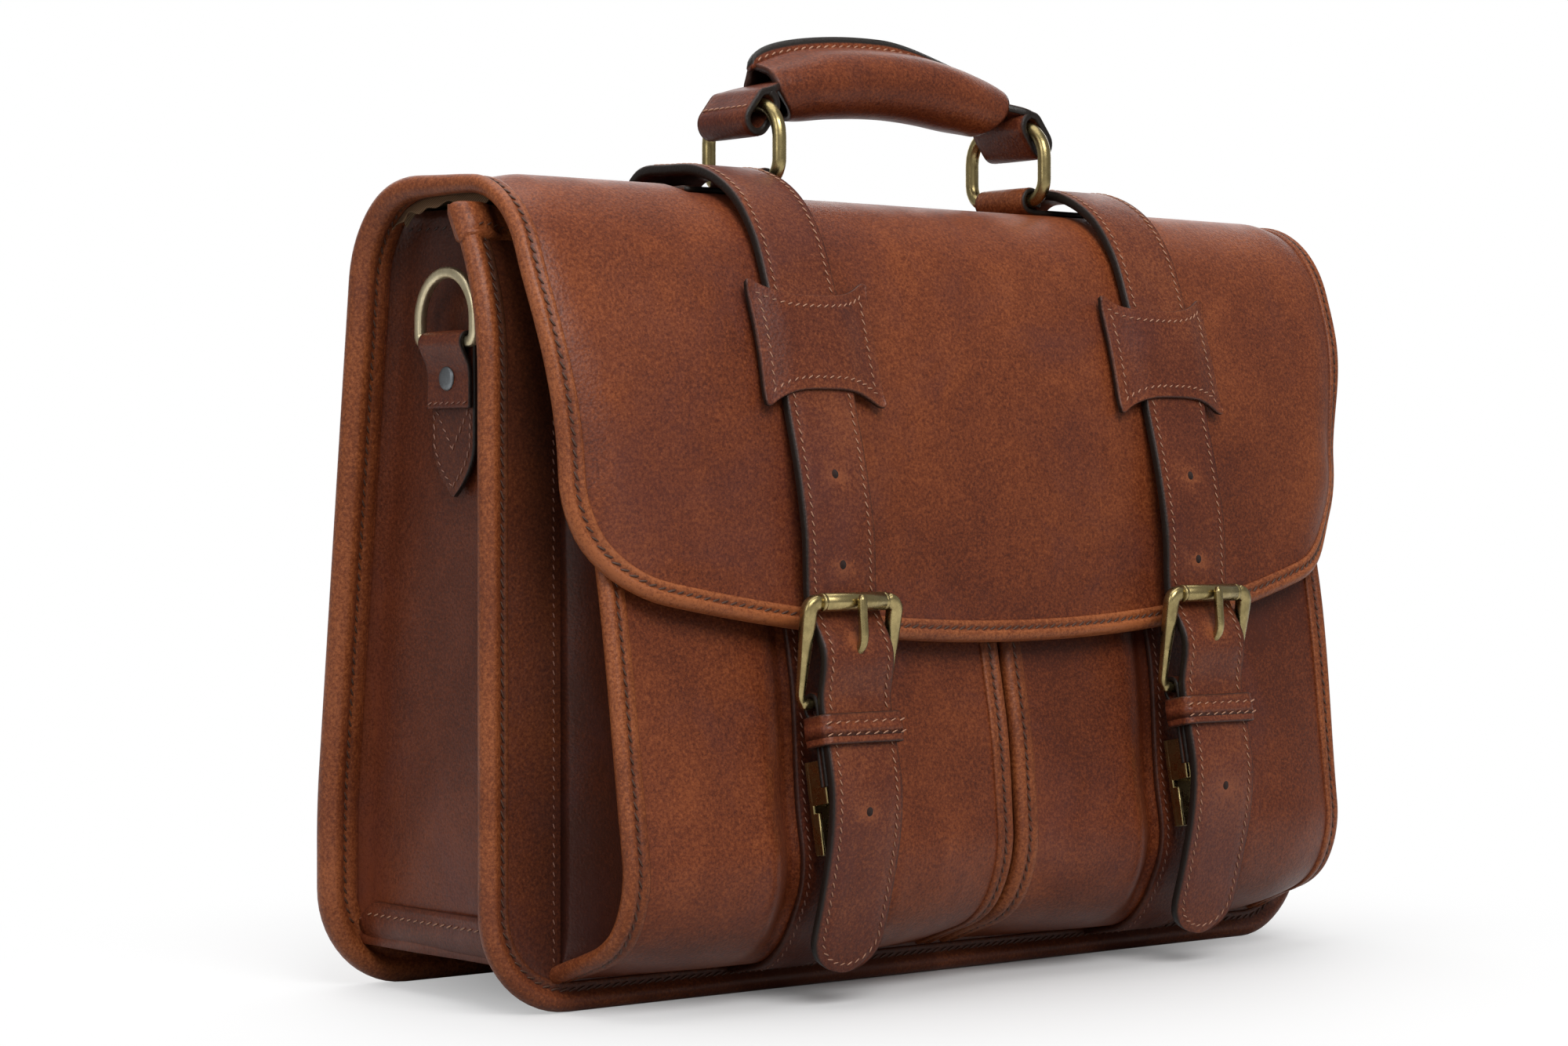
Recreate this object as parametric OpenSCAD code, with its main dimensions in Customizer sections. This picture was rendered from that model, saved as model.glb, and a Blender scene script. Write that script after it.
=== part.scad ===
// Leather flap-over briefcase with two buckled straps, front pockets and a ring-hung handle
// Frame: +X to the right seen from the front, the front faces -Y, +Z up, floor at Z = 0

/* [Case] */
// Width over the side rolls
case_w = 430; // [390:1:470]
// Depth at the base, front panel face to back panel face
case_d = 108; // [95:1:125]
// Height of the top face above the floor
top_z = 299; // [285:1:315]
// Thickness of the leather
leather_t = 3; // [2.4:0.1:3.4]
// Forward lean of the back panel, in degrees
back_lean = 6.5; // [3:0.5:10]
// Height where the back panel starts to lean
lean_z = 55; // [40:1:65]
// Radius of the bend where the back panel starts to lean
lean_r = 250; // [150:10:400]
// Radius of the rounded top back edge
top_r = 38; // [32:1:42]
// Height of the front panel's upper edge
front_z = 284; // [270:1:288]
// How far the front panel's upper edge leans back
front_lean_y = 15; // [8:1:18]
// Height of the leaning stretch of the front panel
front_lean_z = 56; // [45:1:70]
// Outer radius of the panels' lower corners
corner_r = 38; // [28:1:40]

/* [Binding] */
// Diameter of the rolled binding on the front and back panels
roll_d = 10; // [8:0.5:11]
// Diameter of the rolled binding on the flap
flap_roll_d = 9; // [7:0.5:10]
// Diameter of the rolled binding on the pockets
pocket_roll_d = 8; // [6:0.5:8.5]
// Depth of the flat worn under the rolls that stand on the floor
rest_cut = 0.4; // [0.3:0.1:0.8]
// Diameter of the corded welt along the top back seam
welt_d = 6.8; // [5:0.2:8]
// Height of the folded hem on the front panel
hem_h = 14; // [10:1:18]
// Thickness of one hem layer
hem_t = 1.5; // [1:0.1:2]

/* [Gussets and base] */
// How far the gussets stand in from the outside of the rolls
gusset_inset = 18; // [14:1:24]
// Height of the gussets' upper edge
gusset_z = 280; // [265:1:282]
// Width of the gusset's sewn flange
flange_w = 7; // [4:0.5:7.5]
// Thickness of the gusset's sewn flange
flange_t = 2; // [1.5:0.1:2.5]
// Height of the base panel's underside above the floor
base_z = 16; // [13:1:20]
// Height of the base panel's turned-up ends
foot_z = 33; // [28:1:45]
// Radius of the turned-up ends at the floor side
foot_r = 10; // [10:1:14]
// Thickness of the stiffening board in the base
board_t = 2.5; // [1.5:0.1:4]
// Thickness of the lining cloth
lining_t = 1; // [0.6:0.1:1.5]

/* [Flap] */
// How far the flap's rolled edge is set in from each side of the case
flap_inset = 9; // [9:1:20]
// Depth of the case taken by the rounded edges of the top
top_edges = 78.5; // [72:0.5:84]
// Radius of the flap's front ridge
ridge_r = 42; // [32:1:50]
// Steepness reached at the end of the ridge, in degrees of turn
ridge_turn = 68; // [60:1:72]
// Radius of the flap's curved front
front_r = 283; // [240:1:320]
// Turn of the flap's curved front, in degrees
front_turn = 16; // [14:1:19]
// Bow radius of the flap's lower edge
edge_r = 808; // [600:10:1200]
// Radius of the flap's lower corners
flap_corner_r = 48; // [36:1:60]
// Opening between the flap and the back panel at the fold
fold_gap = 0.4; // [0.3:0.1:0.8]
// Position of the fold round the top back edge, in degrees from level
fold_turn = 67; // [60:1:72]

/* [Pockets] */
// Width of each pocket, from the middle gap to its outer edge
pocket_w = 185; // [165:1:192]
// Gap between the two pockets at the middle
pocket_gap = 2; // [1:0.5:6]
// Height of the pockets' upper edge
pocket_z = 212; // [195:1:215]
// Depth of a pocket at its upper edge
pocket_top_d = 18; // [14:1:19]
// Outward slope of the pocket front, in degrees
pocket_slope = 11; // [9:1:12]
// Height where the pocket front starts to turn under
pocket_bend_z = 60; // [58:1:70]
// Radius of the pocket's rounded underside
pocket_r = 40; // [36:1:42]
// Turn of the rounded underside, in degrees
pocket_turn = 93; // [90:1:96]
// Thickness of the pocket side walls
wall_t = 2.5; // [1.5:0.1:3]

/* [Straps] */
// Distance of the straps from the middle
strap_x = 92.5; // [85:0.5:98]
// Width of the straps
strap_w = 33; // [28:0.5:34]
// Thickness of the hanging strap
strap_t = 4.2; // [3.4:0.1:4.6]
// Thickness of the strap sewn to the pocket
sewn_t = 3.5; // [2.5:0.1:3.8]
// Height of the strap's arch over the top face
arch_lift = 6; // [5:0.2:8]
// Length of the hanging tail below the buckle's lower bar
tail_l = 96; // [86:1:98]
// Diameter of the strap's punched holes
hole_d = 3.2; // [2.5:0.1:4]
// Length of the slot that the prong goes through
slot_l = 12; // [11.5:0.5:14]
// Width of the slot that the prong goes through
slot_w = 4.4; // [4.2:0.1:5]
// Width of the keeper patch on the flap
patch_w = 58; // [54:1:66]
// Height of the keeper patch on the flap
patch_h = 46; // [40:1:52]
// Thickness of the keeper patch
patch_t = 3; // [2:0.1:3.5]
// Distance of the keeper patch below the ridge
patch_drop = 10; // [6:1:14]
// Depth of the hollow in the patch's upper and lower edges
patch_waist = 6; // [3:0.5:8]

/* [Buckles] */
// Distance of the buckle's lower bar below the pocket's upper edge
buckle_drop = 106.5; // [100:0.5:110]
// Distance between the buckle's two bars
buckle_l = 37.5; // [36:0.5:40]
// Outer width of the buckle
buckle_w = 45; // [44:0.5:50]
// Diameter of the buckle's wire
buckle_d = 4.2; // [3.6:0.1:4.4]
// Bend radius of the buckle's corners
buckle_r = 4.5; // [3.5:0.1:5]
// Outward tilt of the buckle from the pocket front, in degrees
buckle_tilt = 20; // [18:1:22]
// Diameter of the roller
roller_d = 6.8; // [6:0.1:7.4]
// Width of the prong
prong_w = 3.2; // [2.4:0.1:3.4]
// Thickness of the prong
prong_t = 2.6; // [2:0.1:2.8]
// Width of the leather chape that holds the buckle
chape_w = 31; // [28:0.5:31]
// Thickness of the chape round the buckle's lower bar
chape_t = 2.25; // [1.8:0.05:2.6]
// Length of the chape below the buckle's lower bar
chape_l = 30; // [26:1:32]
// Height of the keeper loop
keeper_h = 11; // [8:0.5:11.5]
// Thickness of the keeper loop
keeper_t = 2.4; // [1.6:0.1:2.5]

/* [Hidden clasps] */
// Width of the clasp's plate
clasp_w = 24; // [20:0.5:28]
// Height of the clasp's plate
clasp_h = 34; // [28:1:38]
// Thickness of the clasp's brass sheet
clasp_t = 1.2; // [0.8:0.1:1.4]
// Height of the clasp's tongue
tongue_h = 16; // [12:1:20]

/* [Handle] */
// Distance of the handle rings from the middle
ring_x = 69.5; // [64:0.5:70]
// Width of a handle ring between the middles of its sides
ring_w = 43; // [42:0.5:48]
// Height of a handle ring between the middles of its bars
ring_h = 30; // [28:0.5:34]
// Diameter of the handle ring's wire
ring_d = 5.5; // [4.5:0.1:6]
// Bend radius of the handle ring's corners
ring_r = 6.5; // [5:0.1:7]
// Width of the leather that holds the rings
loop_w = 29; // [26:0.5:29.5]
// Wall of the leather loops round the rings
loop_t = 4; // [3:0.1:4.2]
// Wall of the leather tubes that anchor the rings
anchor_t = 3; // [2:0.1:3.2]
// Length of the anchor's strip under the strap
anchor_l = 40; // [34:1:44]
// Thickness of the anchor's strip
anchor_strip_t = 2.2; // [1.6:0.1:2.6]
// Reach of the handle loops past the rings, outwards
loop_out = 11; // [8:0.5:12]
// Drop of the handle loops past the rings
loop_drop = 14; // [10:0.5:14]
// Bow radius of the handle
handle_r = 228; // [200:2:280]
// Width of the handle strap inside the grip
core_w = 18; // [14:0.5:20]
// Length of the padded grip
grip_l = 116; // [100:1:118]
// Diameter of the padded grip
grip_d = 27; // [24:0.5:30]
// Height of the grip's seam fin above the padding
fin_h = 7; // [4:0.5:9]
// Thickness of the grip's seam fin
fin_t = 5; // [3:0.2:6]

/* [Side rings] */
// Depth of the side tab's middle behind the front panel
tab_y = 41; // [36:1:48]
// Height of the side ring's straight bar
dring_z = 241; // [232:1:246]
// Width of the side ring between the middles of its sides
dring_w = 35; // [33:0.5:38]
// Length of the side ring's straight sides
dring_leg = 8; // [6:0.5:10]
// Diameter of the side ring's wire
dring_d = 4.2; // [3.4:0.1:4.6]
// Bend radius at the foot of the side ring
dring_r = 3.6; // [3:0.1:4]
// Width of the side tab
tab_w = 27; // [24:0.5:27]
// Length of the side tab below the ring's bar
tab_l = 56; // [50:1:60]
// Length of the side tab's doubled stretch
tab_fold_l = 24; // [20:1:28]
// Thickness of one layer of the side tab
tab_t = 2.2; // [1.8:0.1:2.4]
// Diameter of the tab rivet's head
rivet_d = 9; // [6:0.5:11]
// Height of the tab rivet's head
rivet_h = 1.6; // [1:0.1:2.5]
// Diameter of the tab rivet's shank
shank_d = 3; // [2:0.1:4]
// Distance of the tab rivet below the ring's bar
rivet_drop = 13; // [11:0.5:15]

/* [Clearances] */
// Gap between sewn pieces
seam_gap = 0.2; // [0.15:0.05:0.3]
// Radial clearance of wire in a metal or leather eye
eye_gap = 0.06; // [0.03:0.01:0.09]
// Gap between pieces that move past each other
run_gap = 0.4; // [0.3:0.05:0.6]

/* [Hidden] */
$fn = 48;

// Greatest distance between an arc and the chords that stand for it
chord_gap = 0.04;
// Larger than any piece, for cutting prisms
reach = 600;
// How far the runs of a roll lap into each other, and how much thinner the lapping run is
lap = 0.3;
lap_trim = 0.02;

// Colours of the leather, cloth and metal
leather_brown = [0.43, 0.21, 0.14];
gusset_brown = [0.31, 0.15, 0.10];
binding_tan = [0.58, 0.33, 0.19];
strap_brown = [0.40, 0.18, 0.13];
lining_grey = [0.55, 0.50, 0.43];
board_brown = [0.36, 0.27, 0.19];
antique_brass = [0.59, 0.51, 0.33];
dark_metal = [0.25, 0.25, 0.27];

// A path is a list of [y, z, heading]; heading 0 goes up, 90 goes forward, 180 goes down.
// Its outer side is to the right of the way up. A run is [0, length] or [radius, turn].
function along(p, l) = [p[0] - l * sin(p[2]), p[1] + l * cos(p[2]), p[2]];
function lifted(p, d) = [p[0] + d * cos(p[2]), p[1] + d * sin(p[2]), p[2]];
function on_arc(p, r, s, turn) =
    let (c = lifted(p, -s * r), h = p[2] + turn)
    [c[0] + s * r * cos(h), c[1] + s * r * sin(h), h];
function turned(p, r, turn) = on_arc(p, r, sign(turn), turn);
function arc_count(r, turn) = ceil(abs(turn) / (2 * acos(1 - chord_gap / r)));
function run_points(p, run) =
    run[0] == 0
    ? [along(p, run[1])]
    : let (n = arc_count(run[0], run[1])) [for (k = [1:n]) turned(p, run[0], run[1] * k / n)];
function last(list) = list[len(list) - 1];
function path(p, runs, i = 0) =
    i == len(runs)
    ? [p]
    : let (q = run_points(p, runs[i]))
      concat([p], [for (k = [0:1:len(q) - 2]) q[k]], path(last(q), runs, i + 1));
function offset_path(pts, d) = [for (p = pts) [p[0] + d * cos(p[2]), p[1] + d * sin(p[2])]];
function reversed(list) = [for (k = [len(list) - 1:-1:0]) list[k]];
function shifted_runs(runs, d) = [for (q = runs) q[0] == 0 ? q : [q[0] + sign(q[1]) * d, q[1]]];

// A smooth path through a few knots
spline_steps = 5;
function knot_curve(a, b, c, d, t) =
    0.5 * (2 * b + (c - a) * t + (2 * a - 5 * b + 4 * c - d) * t * t
           + (3 * b - a - 3 * c + d) * t * t * t);
function spline_points(k) =
    let (n = len(k), e = concat([2 * k[0] - k[1]], k, [2 * k[n - 1] - k[n - 2]]))
    concat(
        [for (i = [0:n - 2]) for (j = [0:spline_steps - 1])
            knot_curve(e[i], e[i + 1], e[i + 2], e[i + 3], j / spline_steps)],
        [k[n - 1]]);
function with_headings(pts) =
    [for (i = [0:len(pts) - 1])
        let (a = pts[max(i - 1, 0)], b = pts[min(i + 1, len(pts) - 1)])
        [pts[i][0], pts[i][1], atan2(a[0] - b[0], b[1] - a[1])]];

// Radii and half widths
roll_r = roll_d / 2;
flap_roll_r = flap_roll_d / 2;
pocket_roll_r = pocket_roll_d / 2;
welt_r = welt_d / 2;
buckle_wire_r = buckle_d / 2;
ring_wire_r = ring_d / 2;
dring_wire_r = dring_d / 2;
roll_x = case_w / 2 - roll_r;
gusset_x = case_w / 2 - gusset_inset;
roll_z = roll_r - rest_cut;

// Back panel: up from the floor, a bend, a leaning stretch and the first part of the top back edge
lean_end_z = top_z - top_r * (1 - sin(back_lean));
lean_l = (lean_end_z - lean_z - lean_r * sin(back_lean)) / cos(back_lean);
back_start = [case_d, roll_z, 0];
back_lean_start = [case_d, lean_z, 0];
back_lean_runs = [[lean_r, back_lean], [0, lean_l], [top_r, fold_turn - back_lean]];
back_runs = concat([[0, lean_z - roll_z]], back_lean_runs);
back_pts = path(back_start, back_runs);
fold_point = last(back_pts);

// Hinge of the flap: the middle of the corded welt that lies on the fold
hinge = lifted(fold_point, welt_r + seam_gap);

// Flap: the rest of the top back edge, the flat top, the ridge and the front
fold_gap_turn = fold_gap / top_r * 180 / PI;
flap_start = turned(fold_point, top_r, fold_gap_turn);
top_start = turned(flap_start, top_r, 90 - flap_start[2]);
top_flat = case_d - top_edges;
ridge_start = along(top_start, top_flat);
front_start = turned(ridge_start, ridge_r, ridge_turn);
fall_start = turned(front_start, front_r, front_turn);
flap_w = case_w - 2 * flap_inset;
flap_corner_x = flap_w / 2 - flap_corner_r;
flap_corner_v = edge_r - sqrt(pow(edge_r - flap_corner_r, 2) - pow(flap_corner_x, 2));
fall_margin = 2;
fall_l = flap_corner_v + fall_margin;
flap_side_runs = [
    [top_r, 90 - flap_start[2]], [0, top_flat], [ridge_r, ridge_turn], [front_r, front_turn],
    [0, fall_margin]
];
flap_runs = concat(flap_side_runs, [[0, flap_corner_v]]);
flap_pts = path(flap_start, flap_runs);
flap_end = last(flap_pts);

// Front panel, from its upper edge down to the lower roll
front_lean = 2 * atan2(front_lean_y, front_lean_z);
front_lean_r = front_lean_z / sin(front_lean);
front_top = [front_lean_y, front_z, 180 - front_lean];
front_bend_z = front_z - front_lean_z;
front_pts = path(front_top, [[front_lean_r, front_lean], [0, front_bend_z - roll_z]]);

// Pocket front, from its upper edge down and under to the front panel
pocket_start = [-pocket_top_d, pocket_z, 180 - pocket_slope];
pocket_fall = (pocket_z - pocket_bend_z) / cos(pocket_slope);
pocket_bend_end = turned(along(pocket_start, pocket_fall), pocket_r, pocket_turn);
pocket_tuck = (-seam_gap + leather_t * cos(pocket_bend_end[2]) - pocket_bend_end[0]) / -sin(pocket_bend_end[2]);
// The trim stops short of the front panel's lower roll
trim_short = roll_r - leather_t / 2 + run_gap;
pocket_runs = [[0, pocket_fall], [pocket_r, pocket_turn], [0, pocket_tuck]];
pocket_trim_runs = [[0, pocket_fall], [pocket_r, pocket_turn], [0, pocket_tuck - trim_short]];
pocket_pts = path(pocket_start, pocket_runs);
pocket_trim_pts = path(pocket_start, pocket_trim_runs);
pocket_x0 = pocket_gap / 2;
pocket_x1 = pocket_x0 + pocket_w;

// The stack of strap, chape and clasp in front of a pocket: o outwards, w up from the lower bar
stack_base = along(pocket_start, buckle_drop);
function stack(o, w) = lifted(along(stack_base, -w), o);
sewn_o = seam_gap + sewn_t;
clasp_o = sewn_o + seam_gap;
rail_h = 8.2;
tongue_o = clasp_o + clasp_t + run_gap;
chape_back_o = clasp_o + clasp_t + rail_h + run_gap;
chape_fold_r = buckle_wire_r + eye_gap + chape_t;
bar_o = chape_back_o + seam_gap;
chape_front_o = bar_o + chape_fold_r;
strap_back_o = chape_front_o + run_gap + seam_gap;
strap_mid_o = strap_back_o + strap_t / 2;
roller_o = bar_o + buckle_l * sin(buckle_tilt);
roller_w = buckle_l * cos(buckle_tilt);
roller_r = roller_d / 2;
prong_ring_t = 1.5;
prong_ring_r = buckle_wire_r + eye_gap + prong_ring_t;

// Middle line of the strap: over the arch, down the flap, behind the roller and down the chape
patch_turn = patch_h / front_r * 180 / PI;
patch_start = turned(front_start, front_r, patch_drop / front_r * 180 / PI);
patch_end = turned(patch_start, front_r, patch_turn);
strap_lift = 0.6;
function strap_at(p, lift) = lifted(p, lift + strap_t / 2);
roller_behind_o = roller_o - roller_r - run_gap - strap_t / 2 - 0.6;
slot_mid_w = 17;
strap_knots_3 = [
    strap_at(turned(flap_start, top_r, 9), strap_lift),
    strap_at(top_start, arch_lift * 0.7),
    strap_at(along(top_start, top_flat / 2), arch_lift),
    strap_at(turned(ridge_start, ridge_r, 8), arch_lift * 0.9),
    strap_at(turned(ridge_start, ridge_r, 32), arch_lift * 0.55),
    strap_at(turned(ridge_start, ridge_r, 56), arch_lift * 0.2),
    strap_at(patch_start, strap_lift),
    strap_at(turned(patch_start, front_r, patch_turn / 2), strap_lift),
    strap_at(patch_end, strap_lift),
    strap_at(along(fall_start, 2), 3.6),
    strap_at(along(fall_start, 26), 5.4),
    stack(roller_behind_o, roller_w),
    stack(strap_mid_o + 4.6, slot_mid_w),
    stack(strap_mid_o, 1),
    stack(strap_mid_o, -15),
    stack(strap_mid_o, -32),
    stack(strap_mid_o - 4.2, -tail_l * 0.5),
    stack(strap_mid_o - 12.4, -tail_l * 0.68),
    stack(strap_mid_o - 21.4, -tail_l * 0.85),
    stack(strap_mid_o - 30, -tail_l)
];
strap_pts = with_headings(spline_points([for (k = strap_knots_3) [k[0], k[1]]]));

// Middle line of the prong, from the lower bar out through the strap and over the roller
prong_top_o = roller_o + roller_r + run_gap + prong_t / 2;
prong_knots_3 = [
    stack(bar_o + 0.5, prong_ring_r - 0.8),
    stack(bar_o + 2.6, 9),
    stack(strap_mid_o + 1.6, 14.8),
    stack(strap_mid_o + 8.5, 19.8),
    stack(prong_top_o - 0.6, roller_w - 5.5),
    stack(prong_top_o + 0.4, roller_w + 1.5)
];
prong_pts = with_headings(spline_points([for (k = prong_knots_3) [k[0], k[1]]]));

// Handle: rings stand on the flat top and carry the handle's loops
ring_y = (top_start[0] + ridge_start[0]) / 2;
anchor_r = ring_wire_r + eye_gap + anchor_t;
ring_z = top_z + seam_gap + anchor_r;
ring_top_z = ring_z + ring_h;
loop_r = ring_wire_r + eye_gap + loop_t;
handle_end_z = ring_top_z + ring_wire_r + eye_gap + loop_t / 2;
handle_turn = asin(ring_x / handle_r);
handle_mid_z = handle_end_z - handle_r * cos(handle_turn);
grip_turn = asin(grip_l / 2 / handle_r);

// Side rings on tabs sewn to the gussets
dring_fold_r = dring_wire_r + eye_gap + tab_t;
dring_x = gusset_x + seam_gap + dring_fold_r;

// The whole case is centred front to back on its own box
front_most = min([for (p = offset_path(strap_pts, strap_t / 2)) p[0]]);
back_most = case_d - leather_t / 2 + roll_r;
y_mid = (front_most + back_most) / 2;

module placed() {
    translate([0, -y_mid, 0])
        children();
}

module sided(s) {
    if (s < 0)
        mirror([1, 0, 0])
            children();
    else
        children();
}

// Bar along a path in the YZ plane; its section has X across and the outer side of the path up.
// In a lapped bar every other run has the second section, a hair thinner, and laps into its neighbours.
module bar(p, runs, phase = 0, joined = [false, false], lapped = false, i = 0) {
    if (i < len(runs)) {
        run = runs[i];
        odd = lapped && (i + phase) % 2 == 1;
        lap0 = odd && (i > 0 || joined[0]) ? lap : 0;
        lap1 = odd && (i < len(runs) - 1 || joined[1]) ? lap : 0;
        if (run[0] == 0)
            bar_straight(along(p, -lap0), run[1] + lap0 + lap1)
                children(odd ? 1 : 0);
        else {
            s = sign(run[1]);
            turn0 = s * lap0 / run[0] * 180 / PI;
            turn1 = s * lap1 / run[0] * 180 / PI;
            bar_bend(on_arc(p, run[0], s, -turn0), run[0], run[1] + turn0 + turn1)
                children(odd ? 1 : 0);
        }
        bar(last(run_points(p, run)), runs, phase, joined, lapped, i + 1) {
            children(0);
            children(lapped ? 1 : 0);
        }
    }
}

module bar_straight(p, l) {
    translate([0, p[0], p[1]])
        rotate([p[2], 0, 0])
            linear_extrude(l)
                children();
}

module bar_bend(p, bend_r, turn) {
    c = lifted(p, -sign(turn) * bend_r);
    from = turn > 0 ? p[2] : p[2] + 180 + turn;
    translate([0, c[0], c[1]])
        rotate([90, 0, 90])
            rotate([0, 0, from])
                rotate_extrude(angle = abs(turn), $fn = bend_r > 100 ? 256 : $fn)
                    translate([bend_r, 0])
                        if (turn > 0)
                            mirror([1, -1, 0])
                                children();
                        else
                            rotate([0, 0, 90])
                                children();
}

// A roll along a path, with its slot towards -X
module roll(p, runs, r, phase = 0, joined = [false, false]) {
    bar(p, runs, phase, joined, true) {
        roll_section(r, 0);
        roll_section(r, lap_trim);
    }
}

// A roll in the XZ plane, with its slot towards the inner side of the path
module cross_roll(p, runs, r) {
    rotate([0, 0, -90])
        bar(p, runs, 0, [false, false], true) {
            rotate([0, 0, 90])
                roll_section(r, 0);
            rotate([0, 0, 90])
                roll_section(r, lap_trim);
        }
}

// Closed wire frame
module wire(p, runs, r) {
    bar(p, runs)
        circle(r = r);
}

// Section of a roll with the slot that takes the panel's edge, open towards -X
module roll_section(r, trim) {
    slot_h = leather_t + 2 * (seam_gap + trim);
    difference() {
        circle(r = r - trim);
        translate([-r - 1, -slot_h / 2])
            square([r + 1 + seam_gap + trim, slot_h]);
    }
}

module along_x(x0, x1) {
    translate([x0, 0, 0])
        rotate([90, 0, 90])
            linear_extrude(x1 - x0)
                children();
}

module along_y(y0, y1) {
    translate([0, y1, 0])
        rotate([90, 0, 0])
            linear_extrude(y1 - y0)
                children();
}

// A sheet that follows a path, between two distances from its outer face
module sheet(pts, d0, d1, x0, x1) {
    along_x(x0, x1)
        polygon(concat(offset_path(pts, d0), reversed(offset_path(pts, d1))));
}

// Outline of a panel with round lower corners
module panel_outline(half_w, z0, r) {
    translate([-half_w, z0 + r])
        square([2 * half_w, reach]);
    translate([-half_w + r, z0])
        square([2 * (half_w - r), reach]);
    for (s = [-1, 1])
        translate([s * (half_w - r), z0 + r])
            circle(r = r);
}

module panel_sheet(pts, d0, d1, inset) {
    intersection() {
        sheet(pts, d0, d1, -reach, reach);
        along_y(-reach, reach)
            panel_outline(case_w / 2 - inset, inset - rest_cut, corner_r - inset);
    }
}

// Roll round the two sides and the lower edge of a panel that stands at y
module panel_roll(y, side_z) {
    bend_r = corner_r - roll_r;
    foot_run = side_z - roll_z - bend_r;
    runs = [[0, foot_run], [bend_r, 90], [0, 2 * (roll_x - bend_r)], [bend_r, 90], [0, foot_run]];
    translate([0, y, 0])
        cross_roll([-roll_x, side_z, 180], runs, roll_r);
}

module below_floor() {
    translate([-reach, -reach, -reach])
        cube([2 * reach, 2 * reach, reach]);
}

module back_panel() {
    color(leather_brown)
        placed()
            panel_sheet(back_pts, -leather_t, 0, roll_r);
}

module back_binding() {
    start = lifted(back_lean_start, -leather_t / 2);
    color(binding_tan)
        placed()
            difference() {
                union() {
                    panel_roll(case_d - leather_t / 2, lean_z);
                    for (s = [-1, 1])
                        sided(s)
                            translate([roll_x, 0, 0])
                                roll(start, shifted_runs(back_lean_runs, -leather_t / 2), roll_r, 1, [true, false]);
                }
                below_floor();
            }
}

module front_panel() {
    color(leather_brown)
        placed()
            panel_sheet(front_pts, -leather_t, 0, roll_r);
}

module front_binding() {
    start = lifted(front_top, -leather_t / 2);
    runs = shifted_runs([[front_lean_r, front_lean]], -leather_t / 2);
    color(binding_tan)
        placed()
            difference() {
                union() {
                    panel_roll(leather_t / 2, front_bend_z);
                    for (s = [-1, 1])
                        sided(s)
                            translate([roll_x, 0, 0])
                                roll(start, runs, roll_r, 1, [false, true]);
                }
                below_floor();
            }
}

// Folded strip over the front panel's upper edge, between the two side rolls
module front_hem() {
    hem_turn = hem_h / front_lean_r * 180 / PI;
    hem_start = along(front_top, -hem_t - seam_gap);
    hem_pts = path(hem_start, [[0, hem_t + seam_gap], [front_lean_r, hem_turn]]);
    half_w = roll_x - roll_r - run_gap;
    color(leather_brown)
        placed()
            difference() {
                sheet(hem_pts, -leather_t - seam_gap - hem_t, seam_gap + hem_t, -half_w, half_w);
                sheet(front_pts, -leather_t - seam_gap, seam_gap, -reach, reach);
                sheet(path(along(front_top, -seam_gap), [[0, seam_gap]]),
                      -leather_t - seam_gap, seam_gap, -reach, reach);
                for (s = [-1, 1])
                    sided(s)
                        sheet(hem_pts, -leather_t - 2 * hem_t, -leather_t - seam_gap,
                              gusset_x - leather_t - seam_gap, reach);
            }
}

// Side profile of the space between the front and back panels, shrunk by d
module inside_profile(d, z0, z1) {
    intersection() {
        polygon(concat(offset_path(front_pts, -leather_t - d), offset_path(back_pts, -leather_t - d)));
        translate([-reach, z0])
            square([2 * reach, z1 - z0]);
    }
}

module gusset(s) {
    color(gusset_brown)
        placed()
            sided(s) {
                along_x(gusset_x - leather_t, gusset_x)
                    inside_profile(seam_gap, base_z + leather_t + seam_gap, gusset_z);
                along_x(gusset_x - leather_t, gusset_x - leather_t + flange_w + leather_t)
                    difference() {
                        inside_profile(seam_gap, foot_z + seam_gap, gusset_z);
                        inside_profile(seam_gap + flange_t, foot_z, gusset_z + seam_gap);
                    }
            }
}

// Base panel with its ends turned up over the gussets
module base_panel() {
    half_w = gusset_x + seam_gap + leather_t;
    color(gusset_brown)
        placed()
            difference() {
                along_y(leather_t + seam_gap, case_d - leather_t - seam_gap)
                    intersection() {
                        translate([-half_w, base_z])
                            square([2 * half_w, foot_z - base_z]);
                        panel_outline(half_w, base_z, foot_r);
                    }
                translate([-half_w + leather_t, 0, base_z + leather_t])
                    cube([2 * (half_w - leather_t), case_d, reach]);
            }
}

module base_board() {
    half_w = gusset_x - leather_t - seam_gap;
    y0 = leather_t + seam_gap;
    color(board_brown)
        placed()
            translate([-half_w, y0, base_z + leather_t + seam_gap])
                cube([2 * half_w, case_d - 2 * y0, board_t]);
}

// Cloth lining of the main compartment, a tub open at the top
module lining() {
    half_w = gusset_x - leather_t - seam_gap;
    z0 = base_z + leather_t + board_t + 2 * seam_gap;
    z1 = front_z - hem_h - 2 * hem_t;
    color(lining_grey)
        placed()
            difference() {
                along_x(-half_w, half_w)
                    inside_profile(seam_gap, z0, z1);
                along_x(-half_w + lining_t, half_w - lining_t)
                    inside_profile(seam_gap + lining_t, z0 + lining_t, z1 + lining_t);
            }
}

// Corded welt on the fold, which the flap turns about
module top_welt() {
    half_w = flap_w / 2 - flap_roll_d - run_gap;
    color(binding_tan)
        placed()
            translate([-half_w, hinge[0], hinge[1]])
                rotate([0, 90, 0])
                    cylinder(h = 2 * half_w, r = welt_r);
}

module pocket_panel(s) {
    color(leather_brown)
        placed()
            sided(s)
                sheet(pocket_pts, -leather_t, 0, pocket_x0 + pocket_roll_r, pocket_x1 - pocket_roll_r);
}

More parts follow.
